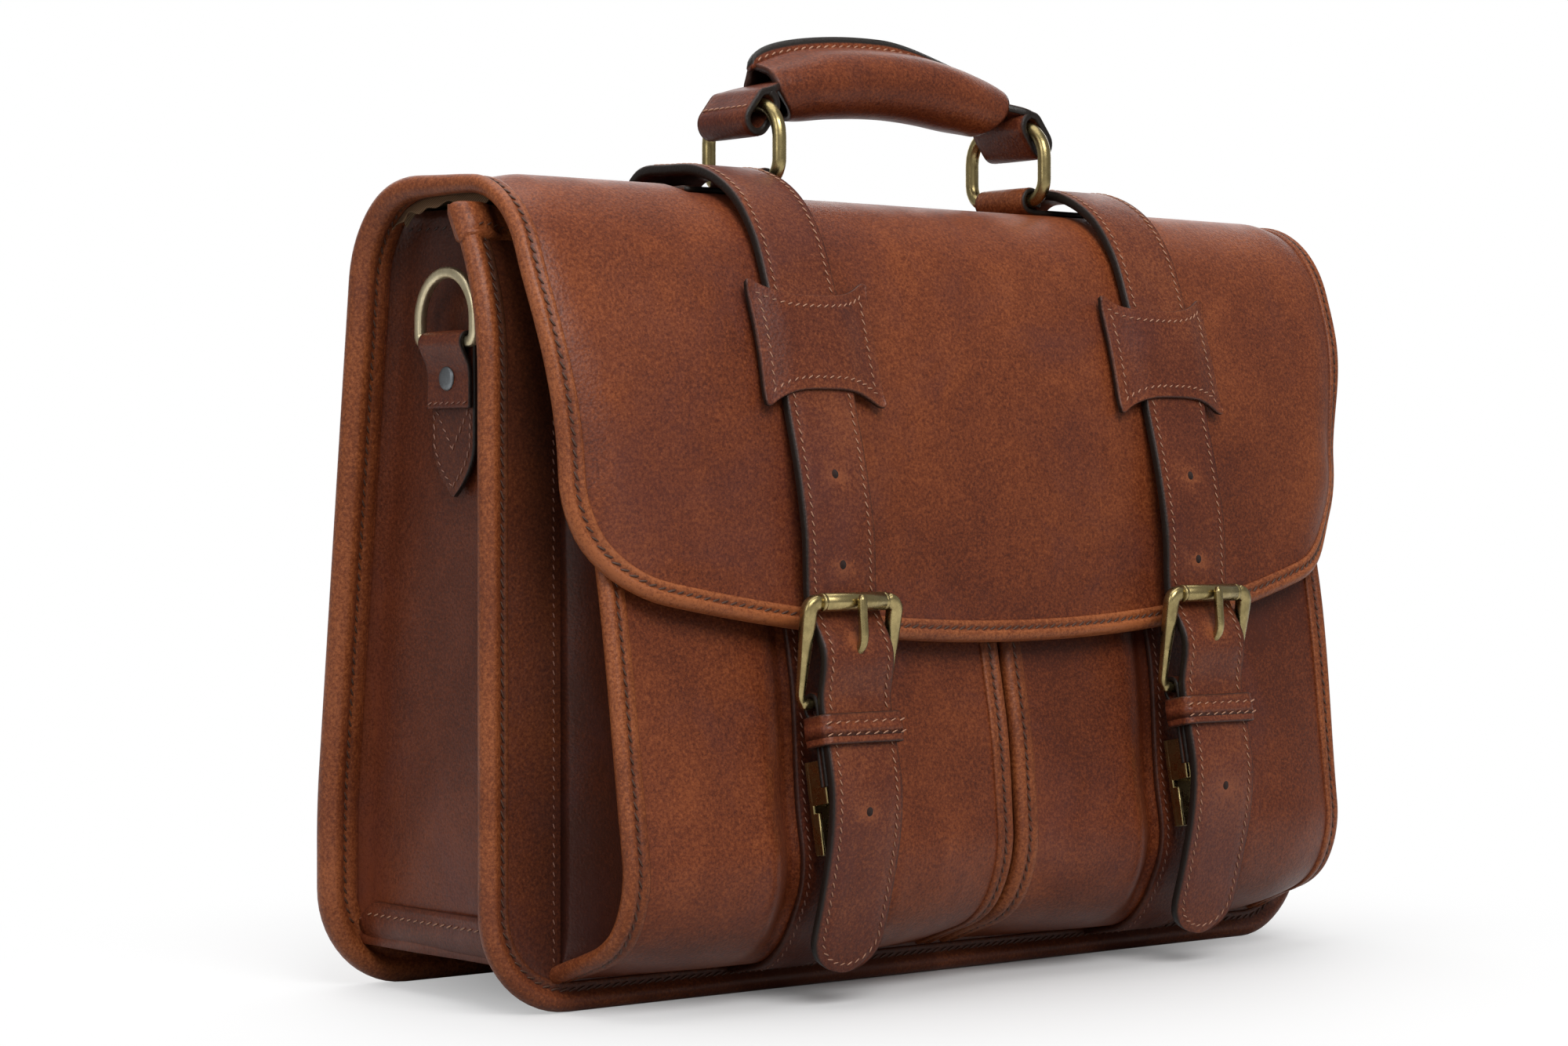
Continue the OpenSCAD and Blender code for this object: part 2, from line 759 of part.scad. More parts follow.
module pocket_wall(x0) {
    along_x(x0, x0 + wall_t)
        polygon(concat(
            [[-seam_gap, pocket_start[1]]],
            offset_path(pocket_pts, -leather_t - seam_gap)));
}

module pocket_walls(s) {
    color(gusset_brown)
        placed()
            sided(s)
                intersection() {
                    union() {
                        pocket_wall(pocket_x0 + pocket_roll_d + seam_gap);
                        pocket_wall(pocket_x1 - pocket_roll_d - seam_gap - wall_t);
                    }
                    translate([0, -reach - seam_gap, 0])
                        cube([reach, reach, pocket_z]);
                }
}

module pocket_binding(s) {
    start = lifted(pocket_start, -leather_t / 2);
    runs = shifted_runs(pocket_trim_runs, -leather_t / 2);
    color(binding_tan)
        placed()
            sided(s) {
                translate([pocket_x1 - pocket_roll_r, 0, 0])
                    roll(start, runs, pocket_roll_r);
                translate([pocket_x0 + pocket_roll_r, 0, 0])
                    mirror([1, 0, 0])
                        roll(start, runs, pocket_roll_r);
            }
}

module pocket_strap(s) {
    color(strap_brown)
        placed()
            sided(s)
                sheet(pocket_trim_pts, seam_gap, sewn_o, strap_x - strap_w / 2, strap_x + strap_w / 2);
}

// Frame of the stack in front of a pocket: -Y outwards, Z up along the pocket front
module on_stack(s) {
    placed()
        sided(s)
            translate([strap_x, stack_base[0], stack_base[1]])
                rotate([-pocket_slope, 0, 0])
                    children();
}

module stack_block(w, o0, o1, w0, w1) {
    translate([-w / 2, -o1, w0])
        cube([w, o1 - o0, w1 - w0]);
}

// Lower end of the clasp, whose upper end stands just below the keeper
clasp_w0 = -chape_fold_r - keeper_h - clasp_h - 11 * run_gap;

module clasp_plate(s) {
    color(antique_brass)
        on_stack(s) {
            stack_block(clasp_w, clasp_o, clasp_o + clasp_t, clasp_w0, clasp_w0 + clasp_h);
            for (x = [-1, 1])
                translate([x * (clasp_w - clasp_t) / 2, 0, 0])
                    stack_block(clasp_t, clasp_o, clasp_o + clasp_t + rail_h,
                                clasp_w0 + clasp_h - tongue_h, clasp_w0 + clasp_h);
        }
}

module clasp_tongue(s) {
    color(antique_brass)
        on_stack(s)
            stack_block(clasp_w - 2 * clasp_t - 2 * run_gap, tongue_o, chape_back_o - seam_gap,
                        clasp_w0 + clasp_h - tongue_h, clasp_w0 + clasp_h);
}

module stack_cylinder(o, w, r, l) {
    translate([-l / 2, -o, w])
        rotate([0, 90, 0])
            cylinder(h = l, r = r);
}

// Leather folded round the buckle's lower bar, with a slot for the prong
module chape(s) {
    color(strap_brown)
        on_stack(s)
            difference() {
                union() {
                    stack_cylinder(bar_o, 0, chape_fold_r, chape_w);
                    stack_block(chape_w, chape_back_o, chape_front_o, -chape_l, 0);
                }
                stack_cylinder(bar_o, 0, buckle_wire_r + eye_gap, chape_w + 1);
                stack_block(prong_w + 2 * run_gap, 0, chape_front_o + 1,
                            -prong_ring_r - run_gap, chape_fold_r + 1);
            }
}

module keeper(s) {
    inner_w = strap_w + 2 * run_gap;
    o0 = chape_back_o - seam_gap;
    o1 = strap_back_o + strap_t + run_gap;
    w1 = -chape_fold_r - run_gap;
    color(strap_brown)
        on_stack(s)
            difference() {
                stack_block(inner_w + 2 * keeper_t, o0 - keeper_t, o1 + keeper_t, w1 - keeper_h, w1);
                stack_block(inner_w, o0, o1, w1 - keeper_h - 1, w1 + 1);
            }
}

// Wire frame of the buckle, tilted out from its lower bar
module buckle(s) {
    half_w = buckle_w / 2 - buckle_wire_r;
    across = 2 * (half_w - buckle_r);
    side = buckle_l - 2 * buckle_r;
    runs = [
        [0, across], [buckle_r, 90], [0, side], [buckle_r, 90],
        [0, across], [buckle_r, 90], [0, side], [buckle_r, 90]
    ];
    color(antique_brass)
        on_stack(s)
            translate([0, -bar_o, 0])
                rotate([buckle_tilt, 0, 0])
                    rotate([0, 0, -90])
                        wire([-half_w + buckle_r, 0, -90], runs, buckle_wire_r);
}

module roller(s) {
    l = buckle_w - buckle_d - 2 * buckle_r - 2 * run_gap;
    color(antique_brass)
        on_stack(s)
            difference() {
                stack_cylinder(roller_o, roller_w, roller_r, l);
                stack_cylinder(roller_o, roller_w, buckle_wire_r + eye_gap, l + 1);
            }
}

module prong(s) {
    color(antique_brass) {
        difference() {
            union() {
                placed()
                    sided(s)
                        sheet(prong_pts, -prong_t / 2, prong_t / 2,
                              strap_x - prong_w / 2, strap_x + prong_w / 2);
                on_stack(s)
                    stack_cylinder(bar_o, 0, prong_ring_r, prong_w);
            }
            on_stack(s)
                stack_cylinder(bar_o, 0, buckle_wire_r + eye_gap, prong_w + 1);
        }
    }
}

// Outline of the strap seen from the front, with its rounded tail
module strap_outline() {
    half_w = strap_w / 2;
    translate([-half_w, -tail_l + half_w])
        square([strap_w, reach]);
    translate([0, -tail_l + half_w])
        circle(r = half_w);
}

module strap_hole(p, d) {
    translate([0, p[0], p[1]])
        rotate([90, 0, 0])
            cylinder(h = 2 * strap_w, d = d, center = true);
}

module strap(s) {
    holes = [along(fall_start, 4), along(fall_start, 36), stack(strap_mid_o, -40)];
    color(strap_brown)
        difference() {
            intersection() {
                placed()
                    sided(s)
                        sheet(strap_pts, -strap_t / 2, strap_t / 2, strap_x - strap_w / 2, strap_x + strap_w / 2);
                on_stack(s)
                    along_y(-reach, reach)
                        strap_outline();
            }
            placed()
                sided(s)
                    translate([strap_x, 0, 0])
                        for (p = holes)
                            strap_hole(p, hole_d);
            on_stack(s)
                along_y(-strap_mid_o - strap_w, -strap_mid_o + strap_w / 2)
                    translate([-slot_w / 2, slot_mid_w - slot_l / 2])
                        square([slot_w, slot_l]);
        }
}

// Keeper patch sewn over the strap, with hollow upper and lower edges
module patch(s) {
    pts = path(patch_start, [[front_r, patch_turn]]);
    mid = turned(patch_start, front_r, patch_turn / 2);
    channel_d = strap_lift + strap_t + 2 * run_gap;
    waist_r = (pow(patch_w / 2, 2) + pow(patch_waist, 2)) / (2 * patch_waist);
    color(strap_brown)
        placed()
            sided(s)
                translate([strap_x, 0, 0])
                    difference() {
                        sheet(pts, seam_gap, channel_d + patch_t, -patch_w / 2, patch_w / 2);
                        sheet(pts, 0, channel_d, -strap_w / 2 - run_gap, strap_w / 2 + run_gap);
                        translate([0, mid[0], mid[1]])
                            rotate([mid[2] - 180, 0, 0])
                                for (v = [-1, 1])
                                    translate([0, 0, v * (patch_h / 2 - patch_waist + waist_r)])
                                        rotate([90, 0, 0])
                                            cylinder(h = 4 * patch_t + 2 * channel_d, r = waist_r,
                                                     center = true);
                    }
}

// Outline of the flap's straight front, v up from the middle of its lower edge
module flap_outline(inset) {
    r = flap_corner_r - inset;
    tangent_x = flap_corner_x * (edge_r - inset) / (edge_r - flap_corner_r);
    intersection() {
        translate([0, edge_r])
            circle(r = edge_r - inset, $fn = 360);
        translate([-tangent_x, 0])
            square([2 * tangent_x, flap_corner_v + fall_margin]);
    }
    for (s = [-1, 1])
        translate([s * flap_corner_x, flap_corner_v])
            circle(r = r);
    translate([-flap_w / 2 + inset, flap_corner_v])
        square([flap_w - 2 * inset, reach]);
}

module on_flap_front() {
    translate([0, flap_end[0], flap_end[1]])
        rotate([flap_end[2] - 180, 0, 0])
            children();
}

module flap_sheet(d0, d1, inset) {
    intersection() {
        sheet(flap_pts, d0, d1, -reach, reach);
        on_flap_front()
            along_y(-reach / 2, reach / 2)
                flap_outline(inset);
    }
}

module flap_panel() {
    color(leather_brown)
        placed()
            flap_sheet(-leather_t, 0, flap_roll_r);
}

module flap_lining() {
    color(lining_grey)
        placed()
            flap_sheet(-leather_t - seam_gap - lining_t, -leather_t - seam_gap, flap_roll_d + run_gap);
}

// Roll round the flap: its two sides, its lower corners and its bowed lower edge
module flap_binding() {
    side_x = flap_w / 2 - flap_roll_r;
    bow = asin(flap_corner_x / (edge_r - flap_corner_r));
    runs = [
        [flap_corner_r - flap_roll_r, 90 - bow], [edge_r - flap_roll_r, 2 * bow],
        [flap_corner_r - flap_roll_r, 90 - bow]
    ];
    side_start = lifted(flap_start, -leather_t / 2);
    side_runs = shifted_runs(flap_side_runs, -leather_t / 2);
    color(binding_tan)
        placed()
            union() {
                for (s = [-1, 1])
                    sided(s)
                        translate([side_x, 0, 0])
                            roll(side_start, side_runs, flap_roll_r, 1, [false, true]);
                on_flap_front()
                    translate([0, leather_t / 2, 0])
                        cross_roll([-side_x, flap_corner_v, 180], runs, flap_roll_r);
            }
}

// Leather tube that holds a handle ring, on a strip that runs out under the strap
module ring_anchor(s) {
    bore_r = ring_wire_r + eye_gap;
    color(leather_brown)
        placed()
            sided(s)
                translate([ring_x, ring_y - loop_w / 2, 0])
                    difference() {
                        union() {
                            translate([0, 0, ring_z])
                                rotate([-90, 0, 0])
                                    cylinder(h = loop_w, r = anchor_r);
                            translate([0, 0, top_z + seam_gap])
                                cube([anchor_l, loop_w, anchor_strip_t]);
                        }
                        translate([0, -1, ring_z])
                            rotate([-90, 0, 0])
                                cylinder(h = loop_w + 2, r = bore_r);
                    }
}

module handle_ring(s) {
    across = ring_w - 2 * ring_r;
    side = ring_h - 2 * ring_r;
    runs = [
        [0, across], [ring_r, -90], [0, side], [ring_r, -90],
        [0, across], [ring_r, -90], [0, side], [ring_r, -90]
    ];
    color(antique_brass)
        placed()
            sided(s)
                translate([ring_x, 0, 0])
                    wire([ring_y + across / 2, ring_z, 90], runs, ring_wire_r);
}

// Bowed strip about the handle's centre, from one end to the other
module handle_bow(turn) {
    translate([0, ring_y, handle_mid_z])
        rotate([90, 0, 0])
            rotate([0, 0, 90 - turn])
                rotate_extrude(angle = 2 * turn, $fn = 180)
                    children();
}

// Loop at the end of the handle strap, drawn round the ring's upper bar
module loop_outline(r) {
    tilt = atan2(loop_drop, loop_out);
    length = norm([loop_out, loop_drop]);
    rotate([0, 0, -tilt]) {
        circle(r = r);
        translate([length, 0])
            circle(r = r);
        translate([0, -r])
            square([length, 2 * r]);
    }
}

module handle_strap() {
    color(strap_brown)
        placed()
            difference() {
                union() {
                    handle_bow(handle_turn)
                        translate([handle_r - loop_t / 2, -core_w / 2])
                            square([loop_t, core_w]);
                    for (s = [-1, 1])
                        sided(s)
                            translate([ring_x, 0, ring_top_z])
                                along_y(ring_y - loop_w / 2, ring_y + loop_w / 2)
                                    loop_outline(loop_r);
                }
                for (s = [-1, 1])
                    sided(s)
                        translate([ring_x, 0, ring_top_z])
                            along_y(ring_y - loop_w, ring_y + loop_w)
                                loop_outline(ring_wire_r + eye_gap);
            }
}

// Padded grip wrapped round the handle strap, with its seam fin along the back
module handle_grip() {
    grip_sink = 3;
    color(leather_brown)
        placed()
            difference() {
                handle_bow(grip_turn) {
                    translate([handle_r - grip_sink, 0])
                        circle(d = grip_d);
                    translate([handle_r - grip_sink, -grip_d / 4 - fin_t / 2])
                        square([grip_d / 2 + fin_h, fin_t]);
                }
                handle_bow(grip_turn + 1)
                    translate([handle_r - loop_t / 2 - seam_gap, -core_w / 2 - seam_gap])
                        square([loop_t + 2 * seam_gap, core_w + 2 * seam_gap]);
            }
}

// Side tab: doubled round the ring's bar, then a single pointed end
module side_tab(s) {
    fold_x = dring_x - gusset_x - seam_gap;
    half_w = tab_w / 2;
    point_h = 16;
    color(strap_brown)
        placed()
            sided(s)
                translate([gusset_x + seam_gap, tab_y, dring_z])
                    difference() {
                        union() {
                            translate([fold_x, half_w, 0])
                                rotate([90, 0, 0])
                                    cylinder(h = tab_w, r = dring_fold_r);
                            translate([0, -half_w, -tab_fold_l])
                                cube([2 * tab_t, tab_w, tab_fold_l]);
                            rotate([90, 0, 90])
                                linear_extrude(tab_t)
                                    polygon([
                                        [-half_w, 0], [half_w, 0], [half_w, -tab_l + point_h],
                                        [0, -tab_l], [-half_w, -tab_l + point_h]
                                    ]);
                        }
                        translate([fold_x, half_w + 1, 0])
                            rotate([90, 0, 0])
                                cylinder(h = tab_w + 2, r = dring_wire_r + eye_gap);
                        translate([-1, 0, -rivet_drop])
                            rotate([0, 90, 0])
                                cylinder(h = 4 * tab_t, d = shank_d + 2 * eye_gap);
                    }
}

module side_rivet(s) {
    color(dark_metal)
        placed()
            sided(s)
                translate([gusset_x + seam_gap, tab_y, dring_z - rivet_drop])
                    rotate([0, 90, 0]) {
                        cylinder(h = 2 * tab_t, d = shank_d);
                        translate([0, 0, 2 * tab_t + eye_gap])
                            cylinder(h = rivet_h, d1 = rivet_d, d2 = rivet_d * 0.7);
                        cylinder(h = 2 * tab_t + eye_gap + rivet_h / 2, d = shank_d);
                    }
}

module side_ring(s) {
    half_w = dring_w / 2;
    across = dring_w - 2 * dring_r;
    runs = [
        [0, across], [dring_r, -90], [0, dring_leg - dring_r], [half_w, -180],
        [0, dring_leg - dring_r], [dring_r, -90]
    ];
    color(antique_brass)
        placed()
            sided(s)
                translate([dring_x, 0, 0])
                    wire([tab_y + across / 2, dring_z, 90], runs, dring_wire_r);
}

back_panel();
back_binding();
front_panel();
front_binding();
front_hem();
gusset(-1);  // gusset_left
gusset(1);  // gusset_right
base_panel();
base_board();
lining();
top_welt();
pocket_panel(-1);  // pocket_panel_left
pocket_panel(1);  // pocket_panel_right
pocket_walls(-1);  // pocket_walls_left
pocket_walls(1);  // pocket_walls_right
pocket_binding(-1);  // pocket_binding_left
pocket_binding(1);  // pocket_binding_right
pocket_strap(-1);  // pocket_strap_left
pocket_strap(1);  // pocket_strap_right
clasp_plate(-1);  // clasp_plate_left
clasp_plate(1);  // clasp_plate_right
side_tab(-1);  // side_tab_left
side_tab(1);  // side_tab_right
side_rivet(-1);  // side_rivet_left
side_rivet(1);  // side_rivet_right
flap_panel();
flap_binding();
flap_lining();
strap(-1);  // strap_left
strap(1);  // strap_right
patch(-1);  // patch_left
patch(1);  // patch_right
chape(-1);  // chape_left
chape(1);  // chape_right
keeper(-1);  // keeper_left
keeper(1);  // keeper_right
buckle(-1);  // buckle_left
buckle(1);  // buckle_right
clasp_tongue(-1);  // clasp_tongue_left
clasp_tongue(1);  // clasp_tongue_right
ring_anchor(-1);  // ring_anchor_left
ring_anchor(1);  // ring_anchor_right
roller(-1);  // roller_left
roller(1);  // roller_right
prong(-1);  // prong_left
prong(1);  // prong_right
handle_ring(-1);  // handle_ring_left
handle_ring(1);  // handle_ring_right
handle_strap();
handle_grip();
side_ring(-1);  // side_ring_left
side_ring(1);  // side_ring_right
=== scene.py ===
"""Looks of the leather case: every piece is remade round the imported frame, in millimetres of the case."""

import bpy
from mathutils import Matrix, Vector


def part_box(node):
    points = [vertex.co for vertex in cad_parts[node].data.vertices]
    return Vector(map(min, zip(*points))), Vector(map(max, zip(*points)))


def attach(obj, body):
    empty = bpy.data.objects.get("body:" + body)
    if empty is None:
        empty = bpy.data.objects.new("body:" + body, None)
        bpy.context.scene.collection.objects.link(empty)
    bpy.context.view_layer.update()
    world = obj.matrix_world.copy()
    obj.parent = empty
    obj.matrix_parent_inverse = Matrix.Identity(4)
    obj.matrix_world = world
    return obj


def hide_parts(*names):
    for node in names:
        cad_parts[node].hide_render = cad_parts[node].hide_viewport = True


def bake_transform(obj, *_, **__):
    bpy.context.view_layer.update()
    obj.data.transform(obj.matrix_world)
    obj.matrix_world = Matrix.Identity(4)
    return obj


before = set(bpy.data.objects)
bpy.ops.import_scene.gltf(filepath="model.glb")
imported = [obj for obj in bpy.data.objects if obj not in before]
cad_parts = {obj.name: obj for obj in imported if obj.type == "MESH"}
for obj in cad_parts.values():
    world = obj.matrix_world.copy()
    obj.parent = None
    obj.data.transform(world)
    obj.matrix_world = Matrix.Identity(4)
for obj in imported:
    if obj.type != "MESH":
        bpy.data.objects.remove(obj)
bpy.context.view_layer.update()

import collections
import math

import bmesh
import bpy
import numpy as np

MM = 0.001
BACK_FACE = 111.5                                       # the case's own Y behind the back binding
SHIFT = BACK_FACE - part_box("back_binding")[1].y / MM    # the case's own Y where the row's Y is 0
SIDES = (("left", -1), ("right", 1))
X_AXIS, Y_AXIS = np.eye(3)[:2]
QUARTER_TURN, HALF_TURN, FULL_TURN = math.pi / 2, math.pi, 2 * math.pi
HIDE_T = 3.0                                            # thickness of the main leather
CASE_HALF, FOOT_R = 215.0, 38.0                         # the panels: half width, lower corners
FOOT_X = CASE_HALF - FOOT_R
rad = math.radians
join = np.concatenate


# Number helpers

def row(points):
    """Case millimetres to metres of the row frame."""
    moved = np.array(points, float)
    moved[..., 1] -= SHIFT
    return moved * MM


def smooth(start, end, value):
    """0 at start, 1 at end, eased between."""
    t = np.clip((np.asarray(value, float) - start) / (end - start), 0, 1)
    return t * t * (3 - 2 * t)


def bell(offset, width):
    return np.exp(-(offset / width) ** 2)


def eased(count, bend):
    """Steps from -1 to 1, closer together at the ends."""
    return np.sin(np.linspace(-1, 1, count) * bend) / math.sin(bend)


def xyz(x, y, z):
    """Points from three coordinates, each one number or many."""
    return np.stack(np.broadcast_arrays(*(np.asarray(c, float) for c in (x, y, z))), -1)


def pairs(a, b):
    return xyz(a, b, 0)[..., :2]


def grid(a, b):
    return np.meshgrid(a, b, indexing="ij")


def arc(radius, start, end, count, centre=(0.0, 0.0)):
    """2-D points on an arc, its angles in degrees."""
    a = np.radians(np.linspace(start, end, count))
    return pairs(centre[0] + radius * np.cos(a), centre[1] + radius * np.sin(a))


def unit(vectors):
    return vectors / np.maximum(np.linalg.norm(vectors, axis=-1, keepdims=True), 1e-9)


def tangents(points, closed=False):
    if closed:
        return unit(np.roll(points, -1, 0) - np.roll(points, 1, 0))
    return unit(np.gradient(points, axis=0))


def travel(path):
    """Length along a path at each of its points."""
    return join([[0], np.cumsum(np.linalg.norm(np.diff(path, axis=0), axis=1))])


def resample(path, at):
    far = travel(path)
    return np.stack([np.interp(at, far, column) for column in np.transpose(path)], -1)


def outward(heading):
    return xyz(0, np.cos(heading), np.sin(heading))


class Line:
    """A side view line. Heading h has direction (-sin h, cos h) and outer normal (cos h, sin h) in Y, Z."""

    def __init__(self, points, headings=None):
        points = np.array(points, float)
        if headings is None:
            run = tangents(points)
            headings = np.degrees(np.unwrap(np.arctan2(-run[:, 0], run[:, 1])))
        self.y, self.z = points.T
        self.h = headings
        self.s = travel(points)
        self.length = self.s[-1]

    def at(self, s, out=0.0):
        h = np.radians(np.interp(s, self.s, self.h))
        y, z = np.interp(s, self.s, self.y), np.interp(s, self.s, self.z)
        return y + out * np.cos(h), z + out * np.sin(h), h


def drawn(start, runs, step=1.0):
    """A Line from (y, z, heading), by straight runs (0, length) and bends (radius, degrees)."""
    y, z, h = start
    out = [(y, z, h)]
    for radius, amount in runs:
        length = radius * rad(abs(amount)) if radius else amount
        count = max(2, math.ceil(length / step))
        for _ in range(count):
            if radius:
                y -= radius * math.cos(rad(h))
                z -= radius * math.sin(rad(h))
                h += amount / count
                y += radius * math.cos(rad(h))
                z += radius * math.sin(rad(h))
            else:
                y -= math.sin(rad(h)) * amount / count
                z += math.cos(rad(h)) * amount / count
            out.append((y, z, h))
    out = np.array(out)
    return Line(out[:, :2], out[:, 2])


def spline(knots, steps=12):
    """Catmull-Rom curve through the knots."""
    p = np.array(knots, float)
    p = np.vstack([2 * p[0] - p[1], p, 2 * p[-1] - p[-2]])
    out = []
    for i in range(1, len(p) - 2):
        for t in np.arange(steps) / steps:
            out.append(0.5 * (2 * p[i] + (p[i + 1] - p[i - 1]) * t
                              + (2 * p[i - 1] - 5 * p[i] + 4 * p[i + 1] - p[i + 2]) * t ** 2
                              + (3 * p[i] - p[i - 1] - 3 * p[i + 1] + p[i + 2]) * t ** 3))
    out.append(p[-2])
    return np.array(out)


def surface(line, dent, draw=lambda s, x: (0.0, 0.0)):
    """place(s, x, out): s along the line, x across, raised by dent and out, drawn back by draw."""
    def place(s, x, out=0.0):
        s, x = np.broadcast_arrays(np.asarray(s, float), np.asarray(x, float))
        back_s, back_x = draw(s, x)
        return xyz(x - back_x, *line.at(s - back_s, dent(s, x) + out)[:2])
    return place


def normals(place, s, x, step=0.6):
    s, x = np.broadcast_arrays(np.asarray(s, float), np.asarray(x, float))
    return unit(np.cross(place(s + step, x) - place(s - step, x), place(s, x + step) - place(s, x - step)))


# Mesh helpers. A part is (vertices, faces, edge weight, tone); the last two may be left out. The edge weight
# mixes in near black, for dye on cut edges and for painted shade; the tone lightens or darkens, partly as
# painted light and shade.

def grid_faces(n, m, wrap_n=False, wrap_m=False):
    i, j = grid(np.arange(n if wrap_n else n - 1), np.arange(m if wrap_m else m - 1))
    i2, j2 = (i + 1) % n, (j + 1) % m
    return np.stack([i * m + j, i2 * m + j, i2 * m + j2, i * m + j2], -1).reshape(-1, 4).tolist()


def tube_faces(rings, count, closed=False):
    """Faces of a row of rings, capped at both ends unless it closes on itself."""
    faces = grid_faces(rings, count, wrap_n=closed, wrap_m=True)
    if not closed:
        last = (rings - 1) * count
        faces += [list(range(count))[::-1], list(range(last, last + count))]
    return faces


def slab(points, outer, thick, bulge=0.0):
    """A sheet (rows, columns) with one outer normal or many, made solid. The edge weight marks its rim."""
    rows, cols = points.shape[:2]
    count = rows * cols
    top = grid_faces(rows, cols)
    bottom = [[i + count for i in face[::-1]] for face in top]
    index = np.arange(count).reshape(rows, cols)
    ring = join([index[0], index[1:, -1], index[-1, -2::-1], index[-2:0:-1, 0]])
    inner = np.clip(np.stack(np.unravel_index(ring, (rows, cols)), -1), 1, [rows - 2, cols - 2])
    upper = points.reshape(-1, 3)
    lower = upper - np.broadcast_to(outer, points.shape).reshape(-1, 3) * thick
    away = unit(upper[ring] - points[inner[:, 0], inner[:, 1]])
    middle = (upper[ring] + lower[ring]) / 2 + away * bulge
    rim = []
    for a, here in enumerate(ring.tolist()):
        b = (a + 1) % len(ring)
        there = int(ring[b])
        rim += [[here, there, 2 * count + b, 2 * count + a],
                [2 * count + a, 2 * count + b, there + count, here + count]]
    weight = join([np.zeros(2 * count), np.ones(len(ring))])
    weight[ring] = 0.25
    weight[ring + count] = 1
    return np.vstack([upper, lower, middle]), top + bottom + rim, weight


def on_top(values, count):
    """Values of a slab's upper face, with zeros for its other vertices."""
    return join([np.ravel(values), np.zeros(count - np.size(values))])


def sweep(centre, across, up, profile, closed=False):
    """A section carried along a line. profile is (m, 2) or (n, m, 2)."""
    n = len(centre)
    profile = np.broadcast_to(profile, (n,) + np.shape(profile)[-2:])
    across, up = np.broadcast_to(across, (n, 3)), np.broadcast_to(up, (n, 3))
    verts = centre[:, None] + across[:, None] * profile[..., :1] + up[:, None] * profile[..., 1:]
    return verts.reshape(-1, 3), tube_faces(n, profile.shape[1], closed)


def full_part(part):
    verts, faces, edge, tone = (*part, None, None)[:4]
    blank = np.zeros(len(verts))
    return verts, faces, blank if edge is None else edge, blank if tone is None else tone


def merge(*parts):
    verts, faces, edges, tones = zip(*(full_part(part) for part in parts))
    starts = np.cumsum([0] + [len(v) for v in verts])
    faces = [[i + int(start) for i in face] for start, some in zip(starts, faces) for face in some]
    return np.vstack(verts), faces, join(edges), join(tones)


def show(name, data):
    obj = bpy.data.objects.new(name, data)
    bpy.context.scene.collection.objects.link(obj)
    return obj


def store(mesh, label, values):
    """A number or a vector for each vertex."""
    vectors = np.ndim(values) > 1
    layer = mesh.attributes.new(label, "FLOAT_VECTOR" if vectors else "FLOAT", "POINT")
    layer.data.foreach_set("vector" if vectors else "value", np.ravel(values).astype(np.float32))


def place_object(name, mesh, body, nodes):
    mesh.polygons.foreach_set("use_smooth", [True] * len(mesh.polygons))
    obj = show(name, mesh)
    if body:
        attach(obj, body)
    if nodes:
        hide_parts(*nodes)
    return obj


def piece(name, part, skin, body=None, *nodes):
    """A mesh object from a part."""
    verts, faces, edge, tone = full_part(part)
    mesh = bpy.data.meshes.new(name)
    rest = row(verts)
    mesh.from_pydata(rest.tolist(), [], faces)
    turned = bmesh.new()
    turned.from_mesh(mesh)
    bmesh.ops.recalc_face_normals(turned, faces=turned.faces)
    turned.to_mesh(mesh)
    turned.free()
    for label, values in (("rest", rest), ("edge", edge), ("tone", tone)):
        store(mesh, label, values)
    mesh.materials.append(skin.material)
    return place_object(name, mesh, body, nodes)


def ribbon_section(width, thick, inset=3.2, groove=0.35):
    """Rounded strap section with a pressed line under each stitch row, and its edge weight."""
    r = min(thick / 2, 1.5)
    side, top = width / 2, thick / 2
    x = [r - side, inset - 0.9 - side, inset - side, inset + 0.9 - side, -width / 4, 0]
    dip = [0.35, 0.05, groove, 0.05, 0, 0]
    x += [-a for a in x[-2::-1]]
    dip += dip[-2::-1]
    upper = [(a, top - d) for a, d in zip(x, dip)]
    right = [(side - r + r * math.cos(rad(a)), math.copysign(top - r, a) + r * math.sin(rad(a)))
             for a in (60, 35, 10, -10, -35, -60)]
    lower = [(a, -top) for a in (side - r, width / 4, 0, -width / 4, r - side)]
    left = [(-a, b) for a, b in right[::-1]]
    edge = [0.0] * len(upper) + [0.5] + [1.0] * 5 + [0.3] * len(lower) + [1.0] * 5 + [0.5]
    return np.array(upper + right + lower + left), np.array(edge)


def ring_section(width, thick, power=2.0, count=14):
    """Oval, round or square-ish bar section."""
    a = np.linspace(0, FULL_TURN, count, endpoint=False)
    c, s = np.cos(a), np.sin(a)
    k = (np.abs(c) ** power + np.abs(s) ** power) ** (-1 / power)
    return pairs(c * k * width / 2, s * k * thick / 2)


def strap_along(centre, across, up, size, share=1.0, closed=False, dye=1.0):
    """A strap of a size (width, thick, inset, groove). Each point has its share of the width."""
    section, edge = ribbon_section(*size)
    profile = np.repeat(section[None], len(centre), 0)
    profile[..., 0] *= np.broadcast_to(share, len(centre))[:, None]
    return (*sweep(centre, across, up, profile, closed), np.tile(edge * dye, len(centre)))


def ribbon(line, x, size, start, end, step=2.0, tip=0, out=0.0):
    """A strap along a side view line, its end rounded over the last tip mm."""
    rounding = end - tip * (1 - np.sin(np.linspace(0, QUARTER_TURN, 14)))
    s = np.unique(join([np.arange(start, end, step), [end], rounding]))
    y, z, h = line.at(s, out)
    gone = np.clip((s - end + tip) / tip, 0, 1) if tip else 0.0
    share = np.sqrt(np.clip(1 - gone ** 2.2, 0.0004, 1))
    verts, faces, edge = strap_along(xyz(x, y, z), X_AXIS, outward(h), size, share)
    if tip:
        edge.reshape(len(s), -1)[-1] = 1
    return verts, faces, edge


